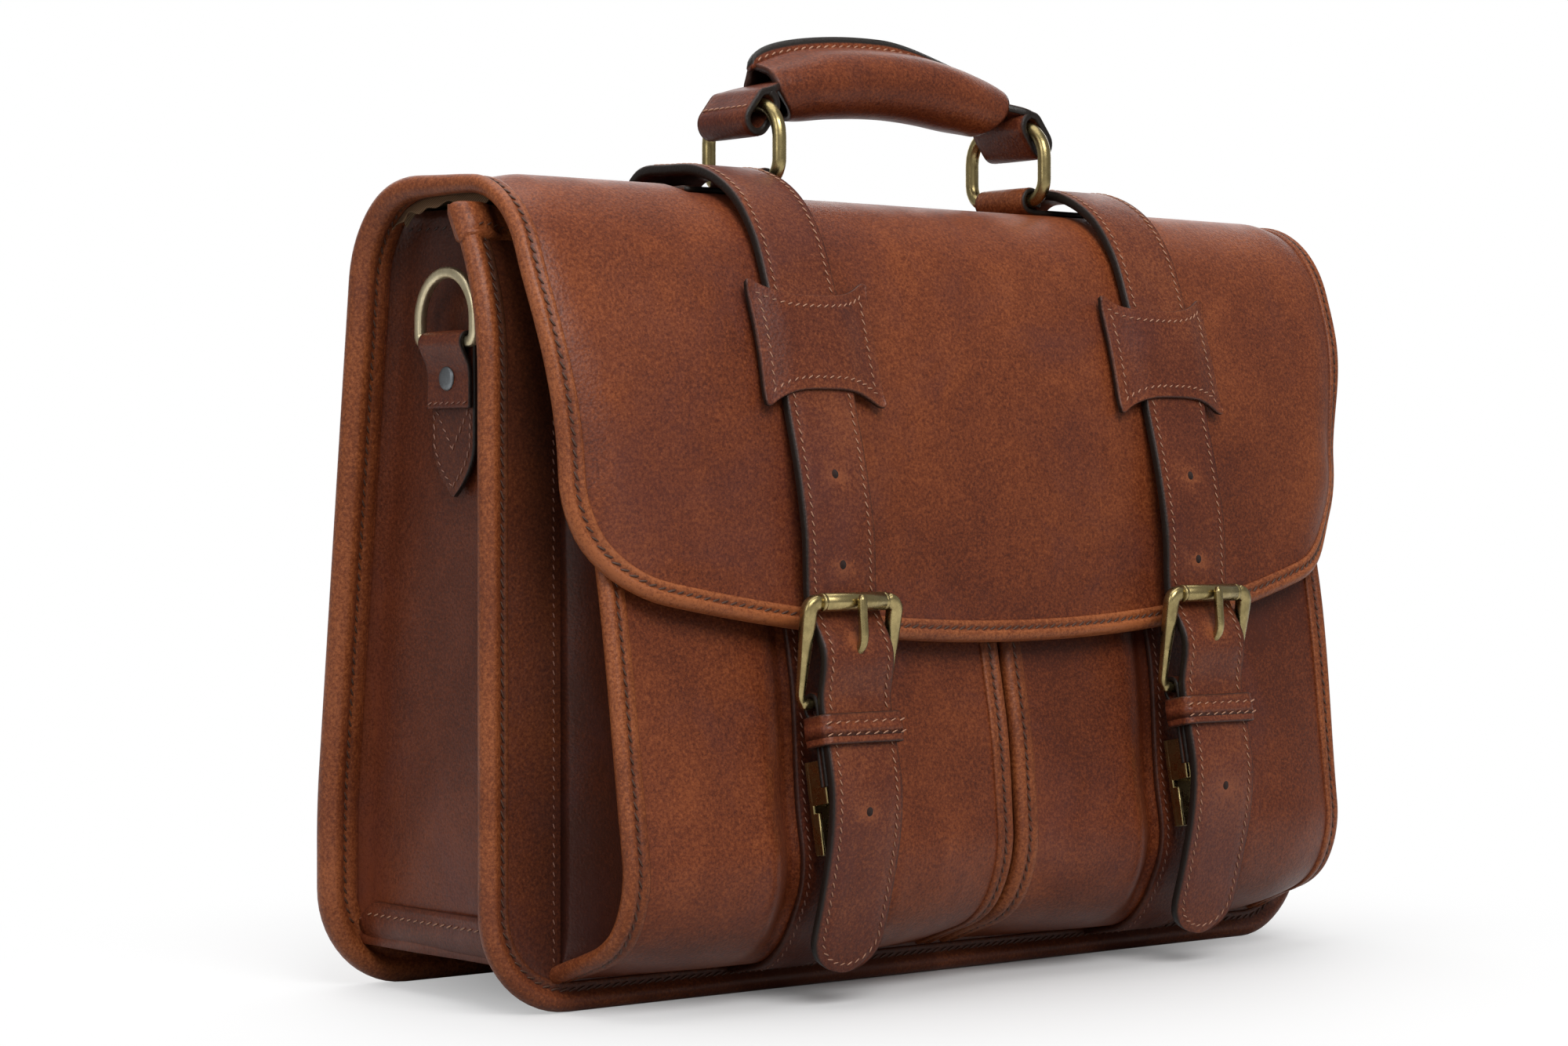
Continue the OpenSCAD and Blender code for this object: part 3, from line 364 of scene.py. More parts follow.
def folded_band(path, side, y, size, share=1.0):
    """A strap along a path in X, Z on one side of the case, with its centre line and its up vectors."""
    run = tangents(path)
    up = xyz(-run[:, 1] * side, 0, run[:, 0])
    centre = xyz(side * path[:, 0], y, path[:, 1])
    return strap_along(centre, Y_AXIS, up, size, share), centre, up


def tube(points, radius, closed=False, up=Y_AXIS, count=14, power=2.0, flat=1.0):
    """A wire along 3-D points. radius is a number or one per point."""
    run = tangents(points, closed)
    across = unit(np.cross(run, up))
    over = unit(np.cross(across, run))
    radius = np.broadcast_to(np.asarray(radius, float), len(points))
    section = ring_section(2, 2 * flat, power, count)[None] * radius[:, None, None]
    return sweep(points, across, over, section, closed)


def rounded_loop(half_w, half_h, radii, step=0.8):
    """Closed rounded rectangle about the origin, as 2-D points. radii is one number or four."""
    corners = ((1, 1), (-1, 1), (-1, -1), (1, -1))
    out = []
    for i, ((sx, sy), r) in enumerate(zip(corners, np.broadcast_to(radii, 4))):
        out += list(arc(r, 90 * i, 90 * i + 90, 8, (sx * (half_w - r), sy * (half_h - r))))
    out = np.array(out + out[:1])
    far = travel(out)[-1]
    return resample(out, np.linspace(0, far, max(24, int(far / step)), endpoint=False))


def block(x0, x1, y0, y1, z0, z1, ease=0.5):
    """A small box with eased corners."""
    half = np.array([x1 - x0, y1 - y0]) / 2
    centre = [(x0 + x1) / 2, (y0 + y1) / 2]
    base = rounded_loop(*half, min(ease, *(half / 1.05)), 0.6)
    levels = ((z0, ease / 2), (z0 + ease / 2, 0), (z1 - ease / 2, 0), (z1, ease / 2))
    rings = []
    for z, trim in levels:
        rings.append(np.column_stack([base * (1 - trim / half) + centre, np.full(len(base), z)]))
    return np.vstack(rings), tube_faces(len(rings), len(base))


# Materials

def new_node(tree, kind, **sets):
    node = tree.nodes.new(kind)
    for key, value in sets.items():
        setattr(node, key, value)
    return node


class Nodes:
    """A small builder of shader nodes."""

    def __init__(self, holder):
        holder.use_nodes = True
        self.tree = holder.node_tree
        self.tree.nodes.clear()

    def add(self, kind, **sets):
        return new_node(self.tree, "ShaderNode" + kind, **sets)

    def feed(self, socket, value):
        if isinstance(value, bpy.types.NodeSocket):
            self.tree.links.new(value, socket)
        else:
            socket.default_value = value

    def put(self, node, **inputs):
        for key, value in inputs.items():
            self.feed(node.inputs[key.replace("_", " ")], value)
        return node

    def math(self, op, a, b):
        node = self.add("Math", operation=op)
        self.feed(node.inputs[0], a)
        self.feed(node.inputs[1], b)
        return node.outputs[0]

    def choose(self, fac, a, b):
        """One of two shaders."""
        node = self.add("MixShader")
        for socket, value in zip(node.inputs, (fac, a, b)):
            self.feed(socket, value)
        return node.outputs[0]


class Shade(Nodes):
    """A material with a Principled shader and textures that stay with the piece's rest place."""

    def __init__(self, name):
        self.mat = bpy.data.materials.new(name)
        super().__init__(self.mat)
        self.out = self.add("OutputMaterial")
        self.bsdf = self.add("BsdfPrincipled")
        self.put(self.out, Surface=self.bsdf.outputs[0])
        self.rest = self.add("Attribute", attribute_name="rest").outputs["Vector"]

    def attr(self, name):
        return self.add("Attribute", attribute_name=name).outputs["Fac"]

    def noise(self, scale, detail=4.0, rough=0.55, distort=0.0):
        node = self.put(self.add("TexNoise"), Vector=self.rest, Scale=scale, Detail=detail, Roughness=rough,
                        Distortion=distort)
        return node.outputs["Fac"]

    def times(self, a, b):
        return self.math("MULTIPLY", a, b)

    def plus(self, a, b):
        return self.math("ADD", a, b)

    def span(self, value, a, b, low, high):
        node = self.put(self.add("MapRange"), Value=value, From_Min=a, From_Max=b, To_Min=low, To_Max=high)
        return node.outputs[0]

    def ramp(self, value, stops):
        node = self.put(self.add("ValToRGB"), Fac=value)
        elements = node.color_ramp.elements
        while len(elements) < len(stops):
            elements.new(0.5)
        for element, (place, colour) in zip(elements, stops):
            element.position = place
            element.color = (*colour, 1)
        return node.outputs["Color"]

    def mix(self, fac, a, b):
        """One of two colours."""
        node = self.add("Mix", data_type="RGBA")
        for key, value in ((0, fac), (6, a), (7, b)):
            self.feed(node.inputs[key], (*value, 1) if isinstance(value, tuple) else value)
        return node.outputs[2]

    def bump(self, height, strength, distance, **normal):
        node = self.put(self.add("Bump"), Height=height, Strength=strength, Distance=distance, **normal)
        return node.outputs["Normal"]


BRUISE = (0.075, 0.026, 0.028)
EDGE_DYE_AND_SHADE = (0.012, 0.008, 0.006)
GLOSS = 0.27


def leather(name, dark, middle, light, rough=0.38, grain=0.35, wear=0.35):
    """Grained, waxed hide: cloudy colour, purple-brown bruises, near black cut edges; where a piece sets
    them, the edge weight lays painted shade and the tone painted light and shade.
    """
    m = Shade(name)
    cloud = m.noise(9.0, 5.0, 0.6)
    patch = m.noise(38.0, 6.0, 0.62, 0.4)
    fleck = m.noise(850.0, 2.0, 0.8)
    value = m.plus(m.times(cloud, 0.62), m.times(patch, 0.38))
    # tone: random lightening and darkening, and on some pieces painted light and shade
    value = m.plus(value, m.attr("tone"))
    value = m.plus(value, m.times(m.math("SUBTRACT", fleck, 0.5), 1.05))
    colour = m.ramp(value, [(0.25, dark), (0.5, middle), (0.78, light)])
    stain = m.span(m.noise(14.0, 5.0, 0.65, 0.8), 0.5, 0.72, 0.0, wear)
    # the edge weight mixes in near black: dye on cut edges, and painted shade where a piece sets it for shade
    colour = m.mix(m.attr("edge"), m.mix(stain, colour, BRUISE), EDGE_DYE_AND_SHADE)
    shine = m.plus(m.span(patch, 0.3, 0.7, rough + 0.07, rough - 0.06), m.times(fleck, 0.08))
    cells = m.put(m.add("TexVoronoi", feature="F1"), Vector=m.rest, Scale=900.0).outputs["Distance"]
    pebble = m.plus(m.times(cells, 0.8), m.times(fleck, 0.6))
    folds = m.bump(m.noise(55.0, 4.0, 0.6, 0.6), 0.25, 0.0012)
    m.put(m.bsdf, Base_Color=colour, Roughness=shine, Normal=m.bump(pebble, grain, 0.0003, Normal=folds),
          Specular_IOR_Level=GLOSS)
    return m.mat


def metal(name, pale, deep, rough, tarnish):
    """Antique plated metal: mottled dark skin over a paler body."""
    m = Shade(name)
    spots = m.noise(260.0, 5.0, 0.7)
    film = m.noise(60.0, 4.0, 0.6)
    dark = m.span(m.plus(m.times(spots, 0.7), m.times(film, 0.5)), 0.42, 0.75, 0.0, tarnish)
    m.put(m.bsdf, Base_Color=m.mix(dark, pale, deep), Normal=m.bump(spots, 0.12, 0.0002),
          Roughness=m.span(spots, 0.3, 0.75, rough - 0.06, rough + 0.14), Metallic=1.0)
    return m.mat


def cloth(name, one, two):
    """Diagonal twill."""
    m = Shade(name)
    wave = m.add("TexWave", wave_type="BANDS", bands_direction="DIAGONAL")
    weave = m.put(wave, Vector=m.rest, Scale=620.0, Distortion=0.6, Detail=1.0).outputs["Fac"]
    m.put(m.bsdf, Base_Color=m.mix(weave, one, two), Normal=m.bump(weave, 0.4, 0.0003), Roughness=0.85)
    return m.mat


def plain(name, colour, rough):
    """One colour, mottled with a darker one."""
    m = Shade(name)
    mottle = m.span(m.noise(300.0, 3.0, 0.6), 0.3, 0.7, 0.0, 0.5)
    m.put(m.bsdf, Base_Color=m.mix(mottle, colour, tuple(c * 0.55 for c in colour)), Roughness=rough)
    return m.mat


Skin = collections.namedtuple("Skin", "material slot")
HIDE_SKIN = Skin(leather("hide_brown", (0.070, 0.013, 0.004), (0.150, 0.033, 0.010), (0.27, 0.072, 0.022)),
                 "leather_brown")
# a darker copy of the hide, as painted shade for the gussets, base and pocket walls
SHADED_SKIN = Skin(leather("gusset_shaded", (0.048, 0.010, 0.004), (0.092, 0.020, 0.007), (0.165, 0.040, 0.015),
                         grain=0.3), "leather_dark")
TAN_SKIN = Skin(leather("binding_tan", (0.085, 0.019, 0.006), (0.175, 0.043, 0.012), (0.33, 0.100, 0.032),
                        0.40, 0.3, 0.2), "leather_tan")
STRAP_SKIN = Skin(leather("strap_brown", (0.062, 0.012, 0.005), (0.122, 0.027, 0.010),
                          (0.24, 0.068, 0.024)), "leather_strap")
BRASS = Skin(metal("antique_brass", (0.43, 0.34, 0.155), (0.12, 0.09, 0.037), 0.26, 0.6), "antique_brass")
PALE_BRASS = Skin(metal("pale_brass", (0.74, 0.65, 0.44), (0.34, 0.28, 0.16), 0.36, 0.7), "antique_brass")
STEEL = Skin(metal("dark_steel", (0.20, 0.215, 0.225), (0.09, 0.095, 0.10), 0.45, 0.7), "dark_steel")
# beige twill, darkened partly as painted shade of the case's inside
SHADED_TWILL = Skin(cloth("lining_twill_shaded", (0.24, 0.155, 0.08), (0.12, 0.072, 0.036)), "lining_cloth")
TWILL_EDGE = Skin(cloth("lining_edge", (0.25, 0.14, 0.065), (0.10, 0.05, 0.022)), "lining_cloth")
THREAD = plain("thread_tan", (0.40, 0.20, 0.12), 0.6)
SEAM_THREAD = plain("thread_brown", (0.070, 0.026, 0.012), 0.6)
TAB_THREAD = plain("thread_brick", (0.27, 0.125, 0.085), 0.6)
DARK_THREAD = plain("thread_dark", (0.03, 0.014, 0.009), 0.6)
BOARD = Skin(plain("board_grey", (0.22, 0.19, 0.15), 0.8), "board")
# near black, for discs laid on the strap holes as painted shadow inside them
HOLE_SHADOW = Skin(plain("hole_shadow", (0.020, 0.006, 0.003), 1.0), "leather_strap")


# Stitches

STITCH_INPUTS = {"Pitch": "Float", "Length": "Float", "Thickness": "Float", "Slant": "Float", "Seed": "Int",
                 "Thread": "Material"}
STITCH_SEED = 1
STITCH_VARIES = (0.88, 1.08)                            # least and greatest scale of a stitch


def stitch_tree():
    """Geometry nodes: short slanted threads laid along a line, turned to its 'up' attribute."""
    tree = bpy.data.node_groups.new("stitch_row", "GeometryNodeTree")
    face = tree.interface
    face.new_socket("Geometry", in_out="INPUT", socket_type="NodeSocketGeometry")
    ids = {label: face.new_socket(label, in_out="INPUT", socket_type="NodeSocket" + kind).identifier
           for label, kind in STITCH_INPUTS.items()}
    face.new_socket("Geometry", in_out="OUTPUT", socket_type="NodeSocketGeometry")

    def new(kind, **sets):
        return new_node(tree, kind, **sets)

    given = new("NodeGroupInput").outputs
    curve = new("GeometryNodeMeshToCurve")
    points = new("GeometryNodeCurveToPoints", mode="LENGTH")
    up = new("GeometryNodeInputNamedAttribute", data_type="FLOAT_VECTOR")
    up.inputs["Name"].default_value = "up"
    aim = new("FunctionNodeAxesToRotation", primary_axis="Z", secondary_axis="X")
    ball = new("GeometryNodeMeshUVSphere")
    for key, value in (("Segments", 8), ("Rings", 6), ("Radius", 0.5)):
        ball.inputs[key].default_value = value
    shape = new("GeometryNodeTransform")
    size = new("ShaderNodeCombineXYZ")
    slant = new("ShaderNodeCombineXYZ")
    vary = new("FunctionNodeRandomValue", data_type="FLOAT")
    lowest, highest = [s for s in vary.inputs if s.name in ("Min", "Max") and s.type == "VALUE"]
    lowest.default_value, highest.default_value = STITCH_VARIES
    lay = new("GeometryNodeInstanceOnPoints")
    real = new("GeometryNodeRealizeInstances")
    paint = new("GeometryNodeSetMaterial")
    for source, socket in (
            (given["Geometry"], curve.inputs[0]), (curve.outputs[0], points.inputs[0]),
            (given["Pitch"], points.inputs["Length"]), (given["Length"], size.inputs[0]),
            (given["Thickness"], size.inputs[1]), (given["Thickness"], size.inputs[2]),
            (given["Slant"], slant.inputs[2]), (ball.outputs["Mesh"], shape.inputs["Geometry"]),
            (size.outputs[0], shape.inputs["Scale"]), (slant.outputs[0], shape.inputs["Rotation"]),
            (up.outputs["Attribute"], aim.inputs["Primary Axis"]),
            (points.outputs["Tangent"], aim.inputs["Secondary Axis"]),
            (given["Seed"], vary.inputs["Seed"]), (points.outputs["Points"], lay.inputs["Points"]),
            (shape.outputs[0], lay.inputs["Instance"]), (aim.outputs[0], lay.inputs["Rotation"]),
            ([s for s in vary.outputs if s.type == "VALUE"][0], lay.inputs["Scale"]),
            (lay.outputs[0], real.inputs[0]), (real.outputs[0], paint.inputs[0]),
            (given["Thread"], paint.inputs["Material"]),
            (paint.outputs[0], new("NodeGroupOutput").inputs[0])):
        tree.links.new(source, socket)
    return tree, ids


STITCH_TREE, STITCH_IDS = stitch_tree()
SEAM = {"pitch": 3.9, "length": 3.9, "thick": 0.85, "slant": 26.0, "thread": SEAM_THREAD}
STRAP_SEAM = {"pitch": 3.4, "length": 2.7, "thick": 0.55, "slant": 26.0}


def stitches(name, rows, skin, body=None, pitch=4.2, length=3.2, thick=0.62, slant=20.0, thread=THREAD):
    """Rows of thread. Each row is (points, up vectors), with True after them if it closes. skin is not used.
    """
    verts, ups, edges = [], [], []
    for points, up, *closed in rows:
        base, count = len(verts), len(points)
        verts += row(points).tolist()
        ups += np.broadcast_to(up, (count, 3)).tolist()
        edges += [(base + i, base + i + 1) for i in range(count - 1)]
        if any(closed):
            edges.append((base + count - 1, base))
    line = bpy.data.meshes.new(name + "_line")
    line.from_pydata(verts, edges, [])
    store(line, "up", ups)
    guide = show(name + "_line", line)
    modifier = guide.modifiers.new("stitch_row", "NODES")
    modifier.node_group = STITCH_TREE
    values = (pitch * MM, length * MM, thick * MM, rad(slant), STITCH_SEED, thread)
    for label, value in zip(STITCH_INPUTS, values):
        modifier[STITCH_IDS[label]] = value
    made = bpy.data.meshes.new_from_object(guide.evaluated_get(bpy.context.evaluated_depsgraph_get()))
    bpy.data.objects.remove(guide)
    bpy.data.meshes.remove(line)
    if "up" in made.attributes:
        made.attributes.remove(made.attributes["up"])
    rest = np.zeros(len(made.vertices) * 3, np.float32)
    made.vertices.foreach_get("co", rest)
    store(made, "rest", rest.reshape(-1, 3))
    made.name = name
    return place_object(name, made, body, ())


# Rolled bindings

def roll_section(width, radius, stitch, ledge):
    """A rolled binding's section, in from the edge and above the leather; its tone, with painted shade in the
    stitch groove and painted light on the roll; its stitch's place.
    """
    middle = -HIDE_T / 2
    near = stitch - 0.8
    top = [(width, middle + 1.2), (width, ledge * 0.5), (width - 0.45, ledge * 0.9),
           (stitch + 0.55 * (width - stitch), ledge * 1.15), (stitch + 1.1, ledge * 1.1),
           (stitch, ledge * 0.6), (near, ledge * 1.1),
           (radius + 0.5 * (near - radius), ledge + 0.78 * (middle + radius - ledge))]
    roll = arc(radius, 90, 270, 13, (radius, middle))
    low = [(a, 2 * middle - b) for a, b in top[::-1]]
    # tone: painted shade in the stitch groove, painted light on the roll and the ledge's crest, darker where
    # it meets the leather
    tone = [-0.1, -0.05, 0.06, 0.0, -0.02, -0.25, -0.02, 0.04] + [0.06] * len(roll) + [0.0] * len(low)
    return np.vstack([top, roll, low]), np.array(tone), (stitch, ledge * 0.6 + 0.35)


BIG_ROLL = roll_section(15.0, 5.5, 9.6, 1.4)
FRONT_ROLL = roll_section(11.0, 4.2, 8.2, 0.7)
FLAP_ROLL = roll_section(8.2, 3.4, 5.2, 1.0)
POCKET_ROLL = roll_section(9.5, 3.3, 5.4, 1.1)


def bound_edge(place, s, x, section, closed, other=None, share=0.0, toward=None):
    """Binding laid on a surface along an edge, its outer stitch row and the inner one.

    share is how much of the other section each point has; toward is a point (s, x) inside the edge.
    """
    other = other or section
    share = np.broadcast_to(share, len(s))[:, None]
    shape = section[0] * (1 - share[..., None]) + other[0] * share[..., None]
    stitch_in, stitch_up = (one * (1 - share) + two * share for one, two in zip(section[2], other[2]))
    flat = pairs(s, x)
    run = tangents(flat, closed)
    inward = pairs(-run[:, 1], run[:, 0])
    if np.sum(inward * ((flat.mean(0) if toward is None else toward) - flat)) < 0:
        inward = -inward

    def lay(across, above):
        at = s[:, None] + across * inward[:, :1], x[:, None] + across * inward[:, 1:]
        up = normals(place, *at)
        return place(*at) + up * above[..., None], up

    verts = lay(shape[..., 0], shape[..., 1])[0].reshape(-1, 3)
    line, up = lay(stitch_in, stitch_up)
    under, down = lay(stitch_in, -HIDE_T - stitch_up)
    faces = tube_faces(len(s), shape.shape[1], closed)
    part = verts, faces, np.zeros(len(verts)), np.tile(section[1], len(s))
    return part, (line[:, 0], up[:, 0], closed), (under[:, 0], -down[:, 0])


def each(values, part):
    """Values along an edge, repeated for every vertex of its binding's section."""
    return np.repeat(values, len(part[0]) // len(values))


# Back, top and flap: one hide that bends at the top back seam

HEEL, LEAN_R, LEAN, BACK_RUN = 55, 250, 6.5, 183.178
TOP_R, FOLD_TURN, TOP_TURN, TOP_FLAT = 38.0, 60.5, 83.5, 29.5
RIDGE_R, RIDGE_TURN, FRONT_R, FRONT_TURN, FALL = 42.0, 68, 283.0, 16, 66.6
HIDE = drawn((108, 0, 0), [(0, HEEL), (LEAN_R, LEAN), (0, BACK_RUN), (TOP_R, TOP_TURN), (0, TOP_FLAT),
                           (RIDGE_R, RIDGE_TURN), (FRONT_R, FRONT_TURN), (0, FALL)])
S_FOLD = HEEL + LEAN_R * rad(LEAN) + BACK_RUN + TOP_R * rad(FOLD_TURN)
S_TOP = S_FOLD + TOP_R * rad(TOP_TURN - FOLD_TURN)
S_RIDGE = S_TOP + TOP_FLAT
S_FRONT = S_RIDGE + RIDGE_R * rad(RIDGE_TURN)
S_FALL = S_FRONT + FRONT_R * rad(FRONT_TURN)
S_END = S_FALL + FALL
FLAP_HALF, CORNER, BOW = 202.5, 48.0, 808.0
TOP_NARROWS = 5.6
FLAP_SAG, SIDE_DROP, LOW_DROP, RIGHT_SLACK, CROWN, WAVE = 3.0, 4.6, 4.2, 5.5, 2.6, 0.4
RIGHT_DRAWN = 6.0                                       # how far the right corners are drawn in
FLAP_LINING_T, LINING_GAP, LINING_TUCK = 0.9, 0.2, 11.5
CORNER_X = FLAP_HALF - CORNER
CORNER_V = BOW - math.sqrt((BOW - CORNER) ** 2 - CORNER_X ** 2)
BOW_TURN = math.asin(CORNER_X / (BOW - CORNER))
S_CORNER = S_END - CORNER_V


def hide_half(s):
    narrows = CASE_HALF - TOP_NARROWS - FLAP_HALF
    return (CASE_HALF - TOP_NARROWS * smooth(S_FOLD - 5, S_RIDGE, s)
            - narrows * smooth(S_FRONT - 5, S_CORNER, s))


def hide_dent(s, x):
    """The flap bows a little, its sides roll back, and its ridge stands up beside the straps."""
    across = np.abs(x)
    flap = smooth(S_RIDGE - 12, S_RIDGE + 58, s)
    sag = FLAP_SAG * flap * (across / 205) ** 2
    past_s, past_x = s - S_CORNER, across - CORNER_X
    on_corner = past_s > 0
    round_edge = CORNER - np.hypot(np.clip(past_x, 0, None), past_s)
    inside = np.where(on_corner, round_edge, hide_half(s) - across)
    turn = np.arctan2(past_s, np.clip(past_x, 0.01, None))
    fade = np.where(on_corner, 1 - smooth(0.45, 1.45, turn), 1)
    slack = RIGHT_SLACK * smooth(S_FRONT + 20, S_CORNER - 5, s) * (x > 0)
    drop = SIDE_DROP * flap + LOW_DROP * smooth(S_FRONT + 15, S_FALL + 15, s) + slack
    wide = 17 + 9 * smooth(S_FRONT, S_CORNER, s)
    roll = drop * fade * np.clip(1 - inside / wide, 0, 1.3) ** 2
    crown = CROWN * bell(s - S_RIDGE - 6, 17) * smooth(112, 126, across) * (1 - smooth(188, 206, across))
    wave = np.sin(x / 31 + s / 47) * np.sin(s / 29 - x / 71) * smooth(S_RIDGE - 10, S_RIDGE + 50, s)
    return crown + WAVE * wave - sag - roll


def hide_draw(s, x):
    """The flap's right corner is drawn up."""
    return RIGHT_DRAWN * smooth(105, 200, x) * smooth(S_FRONT + 20, S_CORNER + 10, s), 0.0


hide = surface(HIDE, hide_dent, hide_draw)


def with_fold(s):
    """The lengths s, with closer steps where the hide bends."""
    fine = np.arange(S_FOLD - 8, S_FOLD + 8.1, 0.8)
    return np.unique(join([s[np.abs(s - S_FOLD) > 8.5], fine]))


def hide_outline():
    foot = np.linspace(0, QUARTER_TURN, 15)
    turn = np.linspace(0, QUARTER_TURN - BOW_TURN, 15)[1:]
    side = with_fold(np.arange(42, S_CORNER - 1.5, 3.0))
    hem = np.arcsin(np.linspace(math.sin(BOW_TURN), 0, 46)[1:])
    s = join([np.zeros(45), FOOT_R - FOOT_R * np.cos(foot), side, [S_CORNER],
              S_CORNER + CORNER * np.sin(turn), S_END - BOW * (1 - np.cos(hem))])
    x = join([np.linspace(0, FOOT_X - 4, 45), FOOT_X + FOOT_R * np.sin(foot), hide_half(side), [FLAP_HALF],
              CORNER_X + CORNER * np.cos(turn), BOW * np.sin(hem)])
    return join([s, s[-2:0:-1]]), join([x, -x[-2:0:-1]])


def corner_depth(radius, past):
    return np.sqrt(np.clip(radius ** 2 - past ** 2, 0, None))


def hide_sheet(inset, step, out, thick, s_low=5.0, tuck=0.0):
    """The hide inside its outline as a slab, its outer face raised by out. tuck narrows the back."""
    u = eased(int(420 / step), 1.15)
    r = CORNER - inset
    x_flap, x_back = u * (FLAP_HALF - inset), np.abs(u) * (CASE_HALF - inset)
    past = np.abs(x_flap) - CORNER_X
    v_end = np.where(past > r * math.sin(BOW_TURN), CORNER_V - corner_depth(r, past),
                     BOW - np.sqrt((BOW - inset) ** 2 - x_flap ** 2))
    foot = FOOT_R - corner_depth(FOOT_R - inset, x_back - FOOT_X)
    s_start = np.maximum(np.where(x_back > FOOT_X, foot, inset), s_low)
    mid = with_fold(np.arange(max(FOOT_R, s_low), S_CORNER, step))
    low, high = np.linspace(0, 1, 8)[:-1, None], np.linspace(0, 1, 24)[1:, None]
    s = join([s_start + (mid[0] - s_start) * low, np.repeat(mid[:, None], len(u), 1),
              mid[-1] + (S_END - v_end - mid[-1]) * high])
    x = u * (hide_half(s) - inset - tuck * smooth(S_FOLD - 4, S_FOLD - 22, s))
    return slab(hide(s, x, out), normals(hide, s, x), thick), s, x


def at_fold(offset):
    return row([0, *HIDE.at(S_FOLD + offset)[:2]]).tolist()


def bend(obj):
    """Leather that crosses the top back seam: only its transform is baked into its mesh."""
    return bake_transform(obj, "case", "flap", at_fold(-5), at_fold(5))


(verts, faces, _), s, x = hide_sheet(4.5, 2.6, 0.0, HIDE_T)
# tone: a painted highlight in a band below the ridge and painted shade towards the side edges; darker over
# the back
tone = 0.05 * bell(s - S_RIDGE - 18, 16) - 0.06 * smooth(185, 206, np.abs(x)) - 0.05 * (s < S_TOP)
bend(piece("hide_leather", (verts, faces, None, on_top(tone, len(verts))), HIDE_SKIN, None,
           "back_panel", "flap_panel"))
sheet, _, _ = hide_sheet(9.0, 6.0, -HIDE_T - LINING_GAP, FLAP_LINING_T, s_low=22.0, tuck=LINING_TUCK)
bend(piece("hide_lining", sheet[:2], SHADED_TWILL, None, "flap_lining"))

s, x = hide_outline()
flap_share = smooth(S_FOLD - 20, S_RIDGE, s)
part, line, (under, down) = bound_edge(hide, s, x, BIG_ROLL, True, FLAP_ROLL, flap_share)
# painted highlight: the flap's lower binding is lightened, as if catching the light
part[3][:] += each(0.18 * smooth(S_CORNER - 20, S_CORNER + 25, s), part)
bend(piece("hide_binding", part, TAN_SKIN, None, "back_binding", "flap_binding"))
inner = [(s > 20) & (s < S_TOP) & (x * side > 150) for _, side in SIDES]
bend(stitches("hide_stitches", [line] + [(under[i], down[i]) for i in inner], TAN_SKIN, **SEAM))

# Lining turned out as a thin wavy strip under the top binding
for label, side in SIDES:
    s = np.arange(S_FOLD - 16, S_RIDGE + 12, 1.5)
    x = side * (hide_half(s) - 10.5)
    up = normals(hide, s, x)
    ends = smooth(S_FOLD - 16, S_FOLD - 4, s) * (1 - smooth(S_RIDGE - 4, S_RIDGE + 12, s))
    hang = (3.4 + 1.0 * np.sin(s / 4.1) + 0.8 * np.sin(s / 1.9 + 1)) * ends + 0.3
    strip = np.stack([hide(s, x) - up * (4.6 + hang * t)[:, None] + X_AXIS * side * 0.5 * t
                      for t in np.linspace(0, 1, 5)], 1)
    bend(piece("lining_edge_" + label, slab(strip, X_AXIS * side, 0.6)[:2], TWILL_EDGE))

# Corded welt on the top back seam
WELT_HALF, WELT_R = 199, 3.3
x = np.linspace(-WELT_HALF, WELT_HALF, 120)
ends = np.sqrt(np.clip(1 - (np.abs(x) / (WELT_HALF + 1)) ** 60, 0.02, 1))
piece("top_welt_cord", tube(xyz(x, *HIDE.at(S_FOLD, 3.4)[:2]), WELT_R * ends), TAN_SKIN, "case", "top_welt")

# Front panel

FRONT_BEND_R, FRONT_BEND_Z = 112, 228
FRONT = drawn((17.5, 288.3, 150), [(0, 5), (FRONT_BEND_R, 30), (0, FRONT_BEND_Z)])


def front_draw(s, x):
    """The lower right corner is drawn in."""
    return 0.0, RIGHT_DRAWN * smooth(140, 212, x) * smooth(190, 270, s)


front = surface(FRONT, lambda s, x: 0.0, front_draw)
foot = np.linspace(0, QUARTER_TURN, 15)
side_s = np.arange(1, FRONT.length - 40, 3.0)
s = join([side_s, FRONT.length - FOOT_R + FOOT_R * np.sin(foot), np.full(44, FRONT.length)])
x = join([np.full(len(side_s), -CASE_HALF), -FOOT_X - FOOT_R * np.cos(foot),
          np.linspace(4 - FOOT_X, 0, 44)])
s, x = join([s, s[-2::-1]]), join([x, -x[-2::-1]])
part, line, _ = bound_edge(front, s, x, FRONT_ROLL, False)
# painted shade: edge weight on the roll's inner ledge, doubled towards the top, and a darker bottom binding
# right of the left corner
ledge = join([[0.35] * 5, [0.2, 0.1], np.zeros(22)])
part[2][:] = np.tile(ledge, len(s)) * (1 + smooth(130, 260, part[0][:, 2]))
part[3][:] += each(-0.04 - 0.25 * smooth(-190, -90, x) * (s > FRONT.length - 30), part)
piece("front_roll", part, TAN_SKIN, "case", "front_binding")
stitches("front_roll_stitches", [line], TAN_SKIN, "case", **SEAM)

LOW_S, EDGE_IN, WALL_SEAM = 246, 5, 184.0
x = eased(130, 1.2) * (CASE_HALF - EDGE_IN)
past = np.abs(x) - FOOT_X
end = FRONT.length - np.where(past > 0, FOOT_R - corner_depth(FOOT_R - EDGE_IN, past), EDGE_IN)
s = join([np.repeat(np.arange(0.5, LOW_S, 4.0)[:, None], len(x), 1),
          LOW_S + (end - LOW_S) * np.linspace(0, 1, 16)[:, None]])
verts, faces, _ = slab(front(s, x), normals(front, s, x), HIDE_T)
across = np.abs(verts[:, 0])
